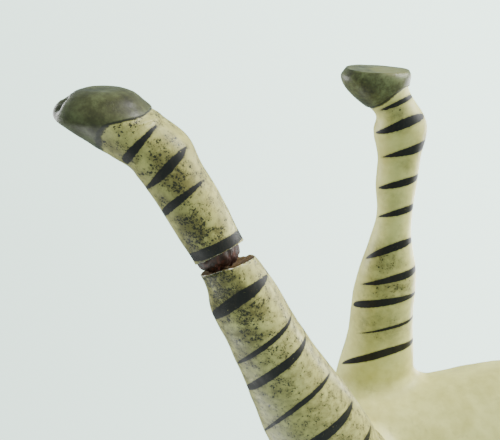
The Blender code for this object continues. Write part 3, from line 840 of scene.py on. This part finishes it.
def buildNeck():
    sides, count = 168, 190
    s, hd, hw = np.array(neckRows).T
    share = np.linspace(-0.12, 1.0, count)
    angle = ringAngles(sides)
    middle = neckRoot + np.outer(share * statue["neckLength"], neckPath)
    piece = loopMesh("neck", ovalLoops(middle, smoothCurve(s, hw, share), smoothCurve(s, hd, share),
                                       neckBack, angle))
    settleAndCut(piece, ["neck"], ["trunk", "head"])
    p = readPoints(piece)
    along = (p - neckRoot) @ neckPath / mm
    share = along * mm / statue["neckLength"]
    turn = np.degrees(np.arctan2((p - neckRoot) @ neckBack / smoothCurve(s, hd, share),
                                 p[:, 0] / smoothCurve(s, hw, share)))
    layPaint(piece, stroke=strokeDistance(neckStrokes, along, turn, True, girth=28.0, shift=5.0))
    return piece


def headPlace(along, up, out=0.0):
    return poll + headAlong * along * mm + headUp * up * mm + np.array([out * mm, 0, 0])


def buildHead():
    sides, count = 176, 230
    s, hh, hw = np.array(headRows).T
    along = taperedSpan(s[0], s[-1], count)
    angle = ringAngles(sides)
    middle = poll + np.outer(along, headAlong)
    loops = ovalLoops(middle, smoothCurve(s, hw, along), smoothCurve(s, hh, along), headUp, angle)
    nose = roundedEnd(loops[-1], headAlong * 3.0 * mm, 16)
    piece = loopMesh("head", np.concatenate([loops, nose]))
    settleAndCut(piece, ["head"], ["neck"], 0.6)
    p = readPoints(piece)
    n = readNormals(piece)
    a, u, x = (p - poll) @ headAlong / mm, (p - poll) @ headUp / mm, p[:, 0] / mm
    side = np.abs(x)
    move = np.zeros(len(p))
    ea, eu, eo = face["eye"]
    toEye = np.sqrt((a - ea) ** 2 + (u - eu) ** 2 + (side - eo) ** 2)
    move += face["brow"] * np.exp(-((toEye - 5.6) / 1.5) ** 2) * (u > eu - 2)
    move -= face["socket"] * np.exp(-((toEye - 3.9) / 0.8) ** 2)
    na, nu, no = face["nostril"]
    toNostril = np.sqrt(((a - na) / 1.6) ** 2 + (u - nu) ** 2 + (side - no) ** 2)
    move -= face["nostrilDepth"] * np.exp(-(toNostril / 1.7) ** 2)
    move += face["nostrilRim"] * np.exp(-((toNostril - 3.2) / 1.1) ** 2)
    onLip = ramp(*face["mouthFrom"], a)
    move -= face["mouthDepth"] * np.exp(-((u - face["mouthHeight"]) / 0.65) ** 2) * onLip * (u < 0)
    move += face["cheek"] * np.exp(-(((a - 22) / 13) ** 2 + ((u + 7) / 9) ** 2)) * (side > 5)
    move -= face["cheekHollow"] * np.exp(-(((a - 52) / 14) ** 2 + ((u - 2) / 5) ** 2)) * (side > 4)
    p = p + n * (move * mm)[:, None]
    placeMesh(piece, p)
    turn = np.degrees(np.arctan2(u, x))
    muzzle = ramp(-2.0, 3.0, a - face["muzzleFrom"] + 2.5 * np.sin(np.radians(turn) * 2) ** 2)
    ring = ramp(5.2, 4.2, toEye)
    layPaint(piece, stroke=strokeDistance(headStrokes, a, turn, True, girth=15.0),
             dark=np.maximum(np.maximum(muzzle * 0.93, ring), np.exp(-(toNostril / 2) ** 2)))
    return piece


def depthOfNeck(share):
    s, hd, _ = np.array(neckRows).T
    return smoothCurve(s, hd, share)


maneCut = {
    "halfWidth": 3.3 * mm, "notches": 23, "notchDepth": 1.5 * mm,
    "crest": ((0.255, 1.0), (0.36, 8.0), (0.64, 10.0), (0.86, 10.5), (1.06, 7.0)),   # share, mm
    "hairDepth": 0.13 * mm, "darkTip": 1.6,
    "bandStart": 38, "bandStep": 16.6, "bandHalfWidth": 5.0,
}


def maneHeight(share):
    stations, height = np.array(maneCut["crest"]).T
    return smoothCurve(stations, height, share)


def buildMane():
    # an upright brush of hair, sawn into locks
    count, sides = 320, 64
    t = np.linspace(0, 1, count)
    low, high = maneCut["crest"][0][0], maneCut["crest"][-1][0]
    share = low + (high - low) * t
    locks = np.abs(np.sin(math.pi * maneCut["notches"] * t))
    height = maneHeight(share) * mm - maneCut["notchDepth"] * (1 - locks) ** 1.6
    angle = ringAngles(sides)
    root = (neckRoot + np.outer(share * statue["neckLength"], neckPath)
            + np.outer(depthOfNeck(np.minimum(share, 1.0)), neckBack))
    thin = maneCut["halfWidth"] * (1 - 0.16 * (1 - locks))
    c, s = np.cos(angle), np.sin(angle)
    flat = np.sign(s) * np.abs(s) ** 0.6
    loops = (root[:, None] + (thin[:, None] * c * (1 - 0.35 * np.maximum(flat, 0)))[..., None] * [1.0, 0, 0]
             + (height[:, None] * flat)[..., None] * neckBack)
    piece = loopMesh("mane", loops)
    p, n = readPoints(piece), readNormals(piece)
    along = (p - neckRoot) @ neckPath / mm
    off = (p - neckRoot) @ neckBack / mm
    hair = np.sin(along * 5.2 + off * 0.9 + 1.4 * lumps(p, 4 * mm, 61))
    placeMesh(piece, p + n * (hair * maneCut["hairDepth"])[:, None])
    step = maneCut["bandStep"]
    band = np.abs((along - maneCut["bandStart"]) % step - step / 2) - step / 2 + maneCut["bandHalfWidth"]
    share = along * mm / statue["neckLength"]
    rise = off - depthOfNeck(np.clip(share, 0, 1)) / mm
    underTip = maneHeight(np.clip(share, low, high)) - maneCut["darkTip"] - rise
    layPaint(piece, stroke=np.minimum(band, underTip))
    return piece


earCut = {
    "length": 24 * mm, "halfSpacing": 8.8 * mm, "headTop": 20.5 * mm, "sink": 3.5 * mm,
    "splay": 16.0, "back": 8.0,
    "hollow": 2.6 * mm, "hollowHalfWidth": 5.4 * mm, "darkFrom": 0.80,
}


def buildEar(side, name):
    rows = ((-0.16, 2.0, 2.0), (0.0, 3.6, 2.9), (0.22, 5.9, 3.7), (0.50, 6.5, 3.4), (0.76, 4.8, 2.7),
            (0.92, 2.5, 1.9), (1.00, 1.2, 1.1))
    h, w, d = np.array(rows).T
    count, sides = 90, 72
    share = np.linspace(h[0], 1.0, count)
    angle = ringAngles(sides)
    x = (smoothCurve(h, w, share)[:, None] * np.cos(angle)) * mm
    y = (smoothCurve(h, d, share)[:, None] * np.sin(angle)) * mm
    inFront = np.clip(-np.sin(angle), 0, 1)[None] ** 0.7
    cup = np.sin(math.pi * np.clip((share - 0.06) / 0.86, 0, 1))[:, None] ** 0.7
    y = y + inFront * cup * earCut["hollow"] * np.clip(1 - (x / earCut["hollowHalfWidth"]) ** 2, 0, 1) ** 0.7
    z = np.repeat((share * earCut["length"])[:, None], sides, 1)
    loops = np.stack([x, y, z], -1)
    seat = (poll + headUp * (earCut["headTop"] - earCut["sink"])
            + np.array([side * earCut["halfSpacing"], 0, 0]))
    place = (Matrix.Translation(Vector(seat))
             @ Matrix.Rotation(side * math.radians(earCut["splay"]), 4, "Y")
             @ Matrix.Rotation(-math.radians(earCut["back"]), 4, "X"))
    piece = loopMesh(name, loops)
    piece.data.transform(place)
    cutByKnife(piece, 0.3)
    inside = withEnds(inFront * cup)
    tip = withEnds(np.repeat(share[:, None], sides, 1))
    belowDark = (earCut["darkFrom"] - tip) * earCut["length"] / mm
    # painted shade: the ear's hollow is darkened with its depth
    layPaint(piece, stroke=np.minimum(belowDark, unpainted), dark=np.clip(inside * 0.55, 0, 1))
    return piece


tailCut = {
    # back, up and radius in mm from the root
    "rows": ((-10, -3, 3.0), (4, 1, 4.4), (12, -3, 4.6), (17, -15, 4.2), (19, -38, 3.8), (19, -64, 4.0),
             (18, -82, 6.6), (17, -98, 5.8), (15, -112, 1.8)),
    "rootShare": 0.965, "rootRise": 30 * mm,
    "tuftFrom": 80, "tuftFull": 96, "combs": 13,
    # mm along the tail
    "ringsFrom": 20, "ringMiddle": 24, "ringStep": 11, "ringHalfWidth": 1.7, "blackFrom": 84,
}


def buildTail():
    # a thin switch that ends in a combed tuft
    count, sides = 230, 96
    dy, dz, r = np.array(tailCut["rows"]).T
    length = np.concatenate([[0], np.cumsum(np.hypot(np.diff(dy), np.diff(dz)))])
    at = np.linspace(0, length[-1], count)
    y, z, radius = (smoothCurve(length, v, at) for v in (dy, dz, r))
    slopeY, slopeZ = np.gradient(y, at), np.gradient(z, at)
    size = np.hypot(slopeY, slopeZ)
    side = np.stack([np.zeros_like(y), -slopeZ / size, slopeY / size], -1)
    angle = ringAngles(sides)
    tuft = ramp(tailCut["tuftFrom"], tailCut["tuftFull"], at)[:, None]
    hair = np.sin(angle * tailCut["combs"] + at[:, None] * 0.25)
    combed = radius[:, None] * (1 + tuft * 0.10 * hair) * mm
    root = np.array([0, benchY + statue["trunkFront"] + statue["trunkLength"] * tailCut["rootShare"],
                     statue["legTop"] + tailCut["rootRise"]])
    middle = root + np.stack([np.zeros_like(y), y, z], -1) * mm
    loops = (middle[:, None] + (combed * np.cos(angle))[..., None] * [-1.0, 0, 0]
             + (combed * np.sin(angle))[..., None] * side[:, None])
    piece = loopMesh("tail_switch", loops)
    cutByKnife(piece, 0.4)
    spot = np.repeat(at[:, None], sides, 1)
    step, black = tailCut["ringStep"], tailCut["blackFrom"]
    rings = np.abs((spot - tailCut["ringMiddle"]) % step - step / 2) - tailCut["ringHalfWidth"]
    rings = rings + np.where(spot > black - 10, 3, 0)
    stroke = np.where(spot < tailCut["ringsFrom"], unpainted,
                      np.where(spot > black - 6, black - spot, rings))
    layPaint(piece, stroke=withEnds(stroke))
    return piece


eyelid = {"long": 1.12, "tall": 0.96, "radius": 3.3 * mm, "thick": 0.75 * mm, "proud": 0.85 * mm,
          "outMm": 1.0}


def buildEyelid(side, name):
    # a carved rim round the bead
    count, sides = 60, 16
    turn, small = ringAngles(count), ringAngles(sides)
    centre = headPlace(*face["eye"][:2], side * (face["eye"][2] + eyelid["outMm"]))
    radial = (np.cos(turn)[:, None] * headAlong * eyelid["long"]
              + np.sin(turn)[:, None] * headUp * eyelid["tall"])
    ringPoints = (centre + radial[:, None] * (eyelid["radius"] + eyelid["thick"] * np.cos(small)[:, None])
                  + (eyelid["proud"] * np.sin(small))[:, None] * np.array([side, 0, 0]))
    faces = []
    for i in range(count):
        for k in range(sides):
            j, m = (i + 1) % count, (k + 1) % sides
            quad = [i * sides + k, j * sides + k, j * sides + m, i * sides + m]
            faces.append(quad if side > 0 else quad[::-1])
    piece = meshFrom(name, ringPoints.reshape(-1, 3), faces)
    layPaint(piece, dark=np.ones(count * sides))
    return piece


neck = buildNeck()
head = buildHead()
mane = buildMane()
leftEar = buildEar(1, "left_ear_leaf")
rightEar = buildEar(-1, "right_ear_leaf")
leftLid = buildEyelid(1, "left_eyelid")
rightLid = buildEyelid(-1, "right_eyelid")
tail = buildTail()

print("mixing the finishes")

oldPaint = {
    # the dark colour for specks of dirt also paints the shadow line along the hoof's edge
    "cream": "#dfd88c", "creamDeep": "#c3b96e", "stain": "#6b6335", "speckAndCoronetShadow": "#1b1a10",
    "gessoChip": "#dcdccf", "stroke": "#0b0908", "strokeThin": "#1d1610",
    "hoof": "#505031", "hoofPale": "#787d54", "hoofDark": "#2a2617", "hoofWorn": "#6c6a3e",
    "bareWood": "#93703f", "bareWoodDark": "#6d4a22", "nearBlack": "#17100c",
}


def shade(tree, position, colours):
    # a colour that runs over a value from 0 to 1
    node = addNode(tree, "ShaderNodeValToRGB", inputs={"Fac": position})
    ends = node.color_ramp.elements
    while len(ends) < len(colours):
        ends.new(0.5)
    for end, (at, code) in zip(ends, colours):
        end.position = at
        end.color = linearColour(code)
    return node.outputs["Color"]


def blend(tree, factor, first, second):
    node = addNode(tree, "ShaderNodeMix", {"data_type": "RGBA", "blend_type": "MIX"})
    for slot, value in ((0, factor), (6, first), (7, second)):
        if isinstance(value, bpy.types.NodeSocket):
            tree.links.new(value, node.inputs[slot])
        else:
            node.inputs[slot].default_value = linearColour(value) if isinstance(value, str) else value
    return node.outputs[2]


def reckon(tree, operation, first, second=0.0, clamp=False):
    node = addNode(tree, "ShaderNodeMath", {"operation": operation, "use_clamp": clamp},
                   {0: first, 1: second})
    return node.outputs[0]


def between(tree, value, low, high, toLow=0.0, toHigh=1.0):
    node = addNode(tree, "ShaderNodeMapRange", {"interpolation_type": "SMOOTHSTEP"},
                   {0: value, 1: low, 2: high, 3: toLow, 4: toHigh})
    return node.outputs[0]


def grain(tree, sizeMm, detail=3.0, rough=0.55, stretch=None, seed=0.0):
    # noise whose lumps are about sizeMm across
    where = addNode(tree, "ShaderNodeTexCoord").outputs["Object"]
    if stretch:
        where = addNode(tree, "ShaderNodeMapping", inputs={"Vector": where, "Scale": stretch,
                                                           "Location": (seed, seed, seed)}).outputs[0]
    return addNode(tree, "ShaderNodeTexNoise", {"noise_dimensions": "4D"},
                   {"Vector": where, "W": seed, "Scale": 1000 / sizeMm, "Detail": detail,
                    "Roughness": rough}).outputs["Fac"]


flecks = {
    "sizes": (0.95, 0.5),       # mm
    "inClusters": 1.15, "everywhere": 0.30,
    "chance": 0.72, "largest": 0.60, "soft": 0.05, "shake": 1.3,
}


def plus(tree, first, second, clamp=False):
    return reckon(tree, "ADD", first, second, clamp)


def times(tree, first, second):
    return reckon(tree, "MULTIPLY", first, second)


def spots(tree, sizeMm, spread, seed):
    # ragged flecks of dirt, more and larger where spread is high
    where = addNode(tree, "ShaderNodeTexCoord").outputs["Object"]
    shake = addNode(tree, "ShaderNodeTexNoise", inputs={"Vector": where, "Scale": 1600 / sizeMm,
                                                        "Detail": 2.0}).outputs["Color"]
    shake = addNode(tree, "ShaderNodeVectorMath", {"operation": "MULTIPLY_ADD"},
                    {0: shake, 1: (flecks["shake"] * sizeMm * mm,) * 3, 2: where}).outputs[0]
    cell = addNode(tree, "ShaderNodeTexVoronoi", {"voronoi_dimensions": "4D"},
                   {"Vector": shake, "W": seed, "Scale": 1000 / sizeMm})
    chance = addNode(tree, "ShaderNodeSeparateColor", inputs={0: cell.outputs["Color"]}).outputs[0]
    reach = reckon(tree, "SUBTRACT", spread, times(tree, chance, flecks["chance"]))
    reach = reckon(tree, "MINIMUM", reach, flecks["largest"])
    edge = reckon(tree, "SUBTRACT", cell.outputs["Distance"], times(tree, reach, 0.85))
    return between(tree, edge, flecks["soft"], -flecks["soft"])


def painted(tree, name):
    return addNode(tree, "ShaderNodeAttribute", {"attribute_name": name}).outputs["Fac"]


def newFinish(name):
    mat = bpy.data.materials.new(name)
    mat.use_nodes = True
    return mat, mat.node_tree, mat.node_tree.nodes["Principled BSDF"]


def liftSurface(tree, surface, height, strength, depth):
    bump = addNode(tree, "ShaderNodeBump",
                   inputs={"Height": height, "Strength": strength, "Distance": depth})
    tree.links.new(bump.outputs["Normal"], surface.inputs["Normal"])


def plainSurface(tree, surface, texture, colours, roughness):
    # colour and roughness both follow one texture
    tree.links.new(shade(tree, texture, colours), surface.inputs["Base Color"])
    tree.links.new(between(tree, texture, *roughness), surface.inputs["Roughness"])


paintFeel = {"roughness": (0.34, 0.52), "ior": 1.45, "specular": 0.38, "relief": 0.45,
             "reliefDepth": 0.16 * mm}


def brushedOilPaint():
    # hand-brushed cream and black over gesso, handled for years: soft gloss, dirt in the grain
    mat, tree, surface = newFinish("old cream and black oil paint, brushed on gesso")
    cloud = grain(tree, 22, 3.0, seed=1.0)
    mottle = grain(tree, 5.0, 4.0, seed=2.0)
    fine = grain(tree, 1.1, 3.0, 0.6, seed=3.0)
    hairs = grain(tree, 1.3, 3.0, 0.6, stretch=(1.0, 1.0, 0.16), seed=4.0)
    tone = plus(tree, times(tree, cloud, 0.6), times(tree, mottle, 0.4))
    cream = shade(tree, tone, ((0.34, oldPaint["creamDeep"]), (0.58, oldPaint["cream"])))
    stained = between(tree, grain(tree, 11, 5.0, 0.62, seed=5.0), 0.56, 0.72, 0.0, 0.34)
    cream = blend(tree, stained, cream, oldPaint["stain"])
    cream = blend(tree, between(tree, fine, 0.42, 0.75, 0.0, 0.16), cream, oldPaint["creamDeep"])
    grime = painted(tree, "grime")
    clusters = between(tree, grain(tree, 3.2, 4.0, 0.62, seed=6.0), 0.38, 0.62)
    film = times(tree, grime, clusters)
    cream = blend(tree, reckon(tree, "MULTIPLY", film, 0.8, clamp=True), cream, oldPaint["stain"])
    cream = blend(tree, between(tree, film, 0.40, 1.3, 0.0, 0.72), cream, oldPaint["speckAndCoronetShadow"])
    spread = plus(tree, times(tree, clusters, flecks["inClusters"]), flecks["everywhere"])
    spread = times(tree, spread, grime)
    large, small = (spots(tree, size, spread, 14.0 + i) for i, size in enumerate(flecks["sizes"]))
    specks = reckon(tree, "MAXIMUM", large, small)
    scrawl = addNode(tree, "ShaderNodeTexNoise", inputs={
        "Vector": addNode(tree, "ShaderNodeTexCoord").outputs["Object"], "Scale": 520, "Detail": 4.0,
        "Roughness": 0.7, "Distortion": 1.6}).outputs["Fac"]
    scrawl = reckon(tree, "ABSOLUTE", reckon(tree, "SUBTRACT", scrawl, 0.5))
    scrawl = between(tree, scrawl, 0.022, 0.004)
    scrawl = times(tree, scrawl, between(tree, grime, 0.2, 0.75, 0.0, 0.95))
    cream = blend(tree, times(tree, scrawl, clusters), cream, oldPaint["speckAndCoronetShadow"])
    scratch = grain(tree, 2.4, 3.0, 0.6, stretch=(1.0, 1.0, 0.2), seed=16.0)
    scratch = between(tree, reckon(tree, "ABSOLUTE", reckon(tree, "SUBTRACT", scratch, 0.5)), 0.014, 0.003)
    scratch = times(tree, scratch, between(tree, grime, 0.35, 1.0, 0.0, 0.8))
    cream = blend(tree, scratch, cream, oldPaint["speckAndCoronetShadow"])
    patina = times(tree, between(tree, mottle, 0.30, 0.62, 0.45, 1.0),
                   between(tree, grime, 0.0, 1.0, 0.0, 1.0))
    cream = blend(tree, patina, cream, oldPaint["stain"])
    cream = blend(tree, times(tree, specks, 0.92), cream, oldPaint["speckAndCoronetShadow"])

    hoofTone = plus(tree, times(tree, grain(tree, 7.0, 4.0, 0.6, seed=8.0), 0.65),
                    times(tree, grain(tree, 1.6, 4.0, 0.7, seed=9.0), 0.35))
    hoof = shade(tree, hoofTone, ((0.36, oldPaint["hoofDark"]), (0.49, oldPaint["hoof"]),
                                  (0.64, oldPaint["hoofPale"])))
    hoof = blend(tree, between(tree, grime, 0.1, 0.7, 0.0, 0.55), hoof, oldPaint["hoofDark"])
    worn = painted(tree, "worn")
    hoof = blend(tree, worn, hoof, oldPaint["hoofWorn"])
    edge = times(tree, reckon(tree, "SUBTRACT", grain(tree, 1.4, 3.0, 0.6, seed=10.0), 0.5), 1.1)
    fromHoof = plus(tree, painted(tree, "hoof"), edge)
    coat = blend(tree, between(tree, fromHoof, 0.12, -0.12), cream, hoof)
    # painted shadow: a dark line along the hoof's edge, under its proud rim
    line = reckon(tree, "ABSOLUTE", plus(tree, fromHoof, 0.15))
    coat = blend(tree, between(tree, line, 0.65, 0.25, 0.0, 0.9), coat, oldPaint["speckAndCoronetShadow"])

    ragged = times(tree, reckon(tree, "SUBTRACT", grain(tree, 1.0, 4.0, 0.65, seed=11.0), 0.5), 1.25)
    fromStroke = plus(tree, painted(tree, "stroke"), ragged)
    black = between(tree, fromStroke, 0.16, -0.16)
    thin = between(tree, hairs, 0.40, 0.72)
    ink = blend(tree, times(tree, thin, 0.8), oldPaint["stroke"], oldPaint["strokeThin"])
    halo = between(tree, fromStroke, 1.1, 0.1, 0.0, 0.30)
    coat = blend(tree, halo, coat, oldPaint["stain"])
    coat = blend(tree, black, coat, ink)
    rubbed = between(tree, grain(tree, 0.8, 3.0, 0.7, seed=12.0), 0.66, 0.72, 0.0, 0.55)
    coat = blend(tree, times(tree, rubbed, black), coat, oldPaint["creamDeep"])

    woodTone = grain(tree, 1.0, 5.0, 0.7, stretch=(1.0, 1.0, 0.5), seed=13.0)
    wood = shade(tree, woodTone, ((0.34, oldPaint["bareWoodDark"]), (0.62, oldPaint["bareWood"])))
    coat = blend(tree, painted(tree, "bare"), coat, wood)
    # dark is black paint on the head and eyelids, and painted shade in the toe slit, the broken ends and the
    # ear hollows
    coat = blend(tree, painted(tree, "dark"), coat, oldPaint["nearBlack"])
    chalk = between(tree, plus(tree, painted(tree, "gesso"), times(tree, fine, 0.9)), 0.95, 1.15)
    coat = blend(tree, chalk, coat, oldPaint["gessoChip"])
    tree.links.new(coat, surface.inputs["Base Color"])

    roughness = between(tree, mottle, 0.3, 0.7, *paintFeel["roughness"])
    roughness = plus(tree, roughness, times(tree, painted(tree, "bare"), 0.3))
    roughness = plus(tree, roughness, times(tree, black, 0.12), clamp=True)
    tree.links.new(roughness, surface.inputs["Roughness"])
    surface.inputs["IOR"].default_value = paintFeel["ior"]
    surface.inputs["Specular IOR Level"].default_value = paintFeel["specular"]

    relief = times(tree, hairs, 0.55)
    relief = plus(tree, relief, times(tree, fine, 0.35))
    relief = plus(tree, relief, times(tree, black, 0.35))
    relief = reckon(tree, "SUBTRACT", relief, times(tree, specks, 0.25))
    liftSurface(tree, surface, relief, paintFeel["relief"], paintFeel["reliefDepth"])
    return mat


def tornDarkWood():
    # old wood soaked dark with glue and dirt: coarse torn fibres that catch little light
    mat, tree, surface = newFinish("torn dark wood, soaked with old glue")
    fibre = grain(tree, 1.0, 6.0, 0.7, stretch=(1.0, 0.5, 0.25), seed=21.0)
    colours = ((0.32, "#120805"), (0.52, "#2c140c"), (0.72, "#6a3420"))
    plainSurface(tree, surface, fibre, colours, (0.3, 0.7, 0.42, 0.72))
    liftSurface(tree, surface, fibre, 0.8, 0.5 * mm)
    return mat


def turnedDowelWood():
    # pale turned dowel: fine lengthwise grain, dry and matt
    mat, tree, surface = newFinish("pale dowel wood, turned")
    lines = grain(tree, 0.9, 4.0, 0.6, stretch=(1.0, 1.0, 0.08), seed=31.0)
    plainSurface(tree, surface, lines, ((0.35, "#a57b48"), (0.65, "#c9a26b")), (0.3, 0.7, 0.58, 0.74))
    liftSurface(tree, surface, lines, 0.3, 0.1 * mm)
    return mat


def blackGlassBead():
    # pressed glass: near black, sharp highlights, faint scuffs
    mat, tree, surface = newFinish("black glass bead, pressed")
    scuff = grain(tree, 0.6, 3.0, 0.6, seed=41.0)
    plainSurface(tree, surface, scuff, ((0.4, "#080808"), (0.7, "#151312")), (0.45, 0.8, 0.06, 0.24))
    surface.inputs["IOR"].default_value = 1.52
    return mat


def wear(thing, mat):
    thing.data.materials.clear()
    thing.data.materials.append(mat)


oilPaint = brushedOilPaint()
coreWood = tornDarkWood()
dowelWood = turnedDowelWood()
beadGlass = blackGlassBead()

standIns = {
    "trunk": [body], "neck_and_head": [neck, head, mane, leftLid, rightLid], "left_ear": [leftEar],
    "right_ear": [rightEar], "left_foreleg": [leftFore], "right_foreleg": [stub],
    "left_hindleg": [leftHind], "right_hindleg": [rightHind], "tail": [tail],
}
for node, pieces in standIns.items():
    for piece in pieces:
        wear(piece, oilPaint)
        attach(piece, "statue")
    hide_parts(node)
for piece, mat, slot, node in ((foot, oilPaint, "painted_wood", "right_fore_foot"),
                               (plug, coreWood, "dark_core", "foot_plug")):
    wear(piece, mat)
    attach(piece, "broken_foot")
    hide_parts(node)
for name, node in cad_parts.items():
    if name.endswith("_dowel"):
        wear(node, dowelWood)
    elif name.endswith("_eye"):
        wear(node, beadGlass)

print("setting the floor, the lights and the camera")

studio = {
    "floor": "#b4bab7", "floorPale": "#bcc1be", "floorGlow": 1.9, "floorReach": 30.0,
    "floorDrop": 0.3 * mm,   # under the soles
    "walls": "#d2ebdf", "wallsSeen": 3.7, "wallsLight": 0.85,
    "wallsBack": 0.34, "wallsUp": -0.16, "wallsMiddle": 1.06,   # a little brighter to the back
    "lamps": (
        # place, size, watts; each looks at the middle of the statue
        ((0.10, 0.90, -0.70), 0.8, 40.0),
        ((1.50, 2.28, 0.945), 2.25, 125.0),
        ((1.375, -2.47, 0.195), 2.0, 94.0),
        ((-0.75, -1.22, 3.07), 2.25, 56.0),
    ),
    "lookAt": (0.0, -0.02, 0.12),
    "cameraAt": (-0.16435, -0.11338, -0.02768), "pitch": 28.0, "roll": 2.0, "lens": 30.96,
}


def layFloor():
    # it shows from above only, so that the statue can also be seen from underneath
    mesh = bpy.data.meshes.new("floor")
    reach, low = studio["floorReach"], -studio["floorDrop"]
    corners = [(x * reach, y * reach, low) for x, y in ((-1, -1), (1, -1), (1, 1), (-1, 1))]
    mesh.from_pydata(corners, [], [(0, 1, 2, 3)])
    floor = bpy.data.objects.new("floor", mesh)
    bpy.context.scene.collection.objects.link(floor)
    mat, tree, surface = newFinish("pale matt floor, painted")
    tone = grain(tree, 60, 3.0, seed=51.0)
    colour = shade(tree, tone, ((0.3, studio["floor"]), (0.7, studio["floorPale"])))
    tree.links.new(colour, surface.inputs["Base Color"])
    surface.inputs["Roughness"].default_value = 0.9
    surface.inputs["Emission Color"].default_value = linearColour(studio["walls"])
    surface.inputs["Emission Strength"].default_value = studio["floorGlow"]
    through = addNode(tree, "ShaderNodeBsdfTransparent")
    side = addNode(tree, "ShaderNodeNewGeometry").outputs["Backfacing"]
    mix = addNode(tree, "ShaderNodeMixShader", inputs={0: side, 1: surface.outputs[0],
                                                       2: through.outputs[0]})
    tree.links.new(mix.outputs[0], tree.nodes["Material Output"].inputs["Surface"])
    wear(floor, mat)
    floor.visible_shadow = False
    floor.visible_diffuse = False
    floor.visible_glossy = False


def hangLamps():
    for i, (place, size, watts) in enumerate(studio["lamps"]):
        data = bpy.data.lights.new(f"softbox_{i}", "AREA")
        data.size = size
        data.energy = watts
        lamp = bpy.data.objects.new(f"softbox_{i}", data)
        bpy.context.scene.collection.objects.link(lamp)
        lamp.location = place
        aim = Vector(studio["lookAt"]) - Vector(place)
        lamp.rotation_euler = aim.to_track_quat("-Z", "Y").to_euler()
    world = bpy.data.worlds.new("pale_room")
    world.use_nodes = True
    tree = world.node_tree
    background = tree.nodes["Background"]
    background.inputs["Color"].default_value = linearColour(studio["walls"])
    seen = addNode(tree, "ShaderNodeLightPath").outputs["Is Camera Ray"]
    strength = addNode(tree, "ShaderNodeMapRange", inputs={0: seen, 3: studio["wallsLight"],
                                                           4: studio["wallsSeen"]}).outputs[0]
    way = addNode(tree, "ShaderNodeSeparateXYZ",
                  inputs={0: addNode(tree, "ShaderNodeTexCoord").outputs["Generated"]})
    wallTone = addNode(tree, "ShaderNodeMath", {"operation": "MULTIPLY_ADD"},
                       {0: way.outputs[1], 1: studio["wallsBack"], 2: studio["wallsMiddle"]})
    wallTone = addNode(tree, "ShaderNodeMath", {"operation": "MULTIPLY_ADD"},
                       {0: way.outputs[2], 1: studio["wallsUp"], 2: wallTone.outputs[0]})
    tree.links.new(times(tree, strength, wallTone.outputs[0]), background.inputs["Strength"])
    bpy.context.scene.world = world


def setCamera():
    pitch, roll = math.radians(studio["pitch"]), math.radians(studio["roll"])
    forward = Vector((math.cos(pitch), 0, math.sin(pitch)))
    level = Vector((0, 1, 0))
    below = Vector((math.sin(pitch), 0, -math.cos(pitch)))
    right = level * math.cos(roll) + below * math.sin(roll)
    top = below * math.cos(roll) - level * math.sin(roll)
    data = bpy.data.cameras.new("view")
    data.lens = studio["lens"]
    data.sensor_width = 36
    data.clip_start = 0.005
    camera = bpy.data.objects.new("view", data)
    bpy.context.scene.collection.objects.link(camera)
    camera.matrix_world = Matrix.Translation(studio["cameraAt"]) @ Matrix(
        (right, top, -forward)).transposed().to_4x4()
    bpy.context.scene.camera = camera


layFloor()
hangLamps()
setCamera()

print("dressing done")
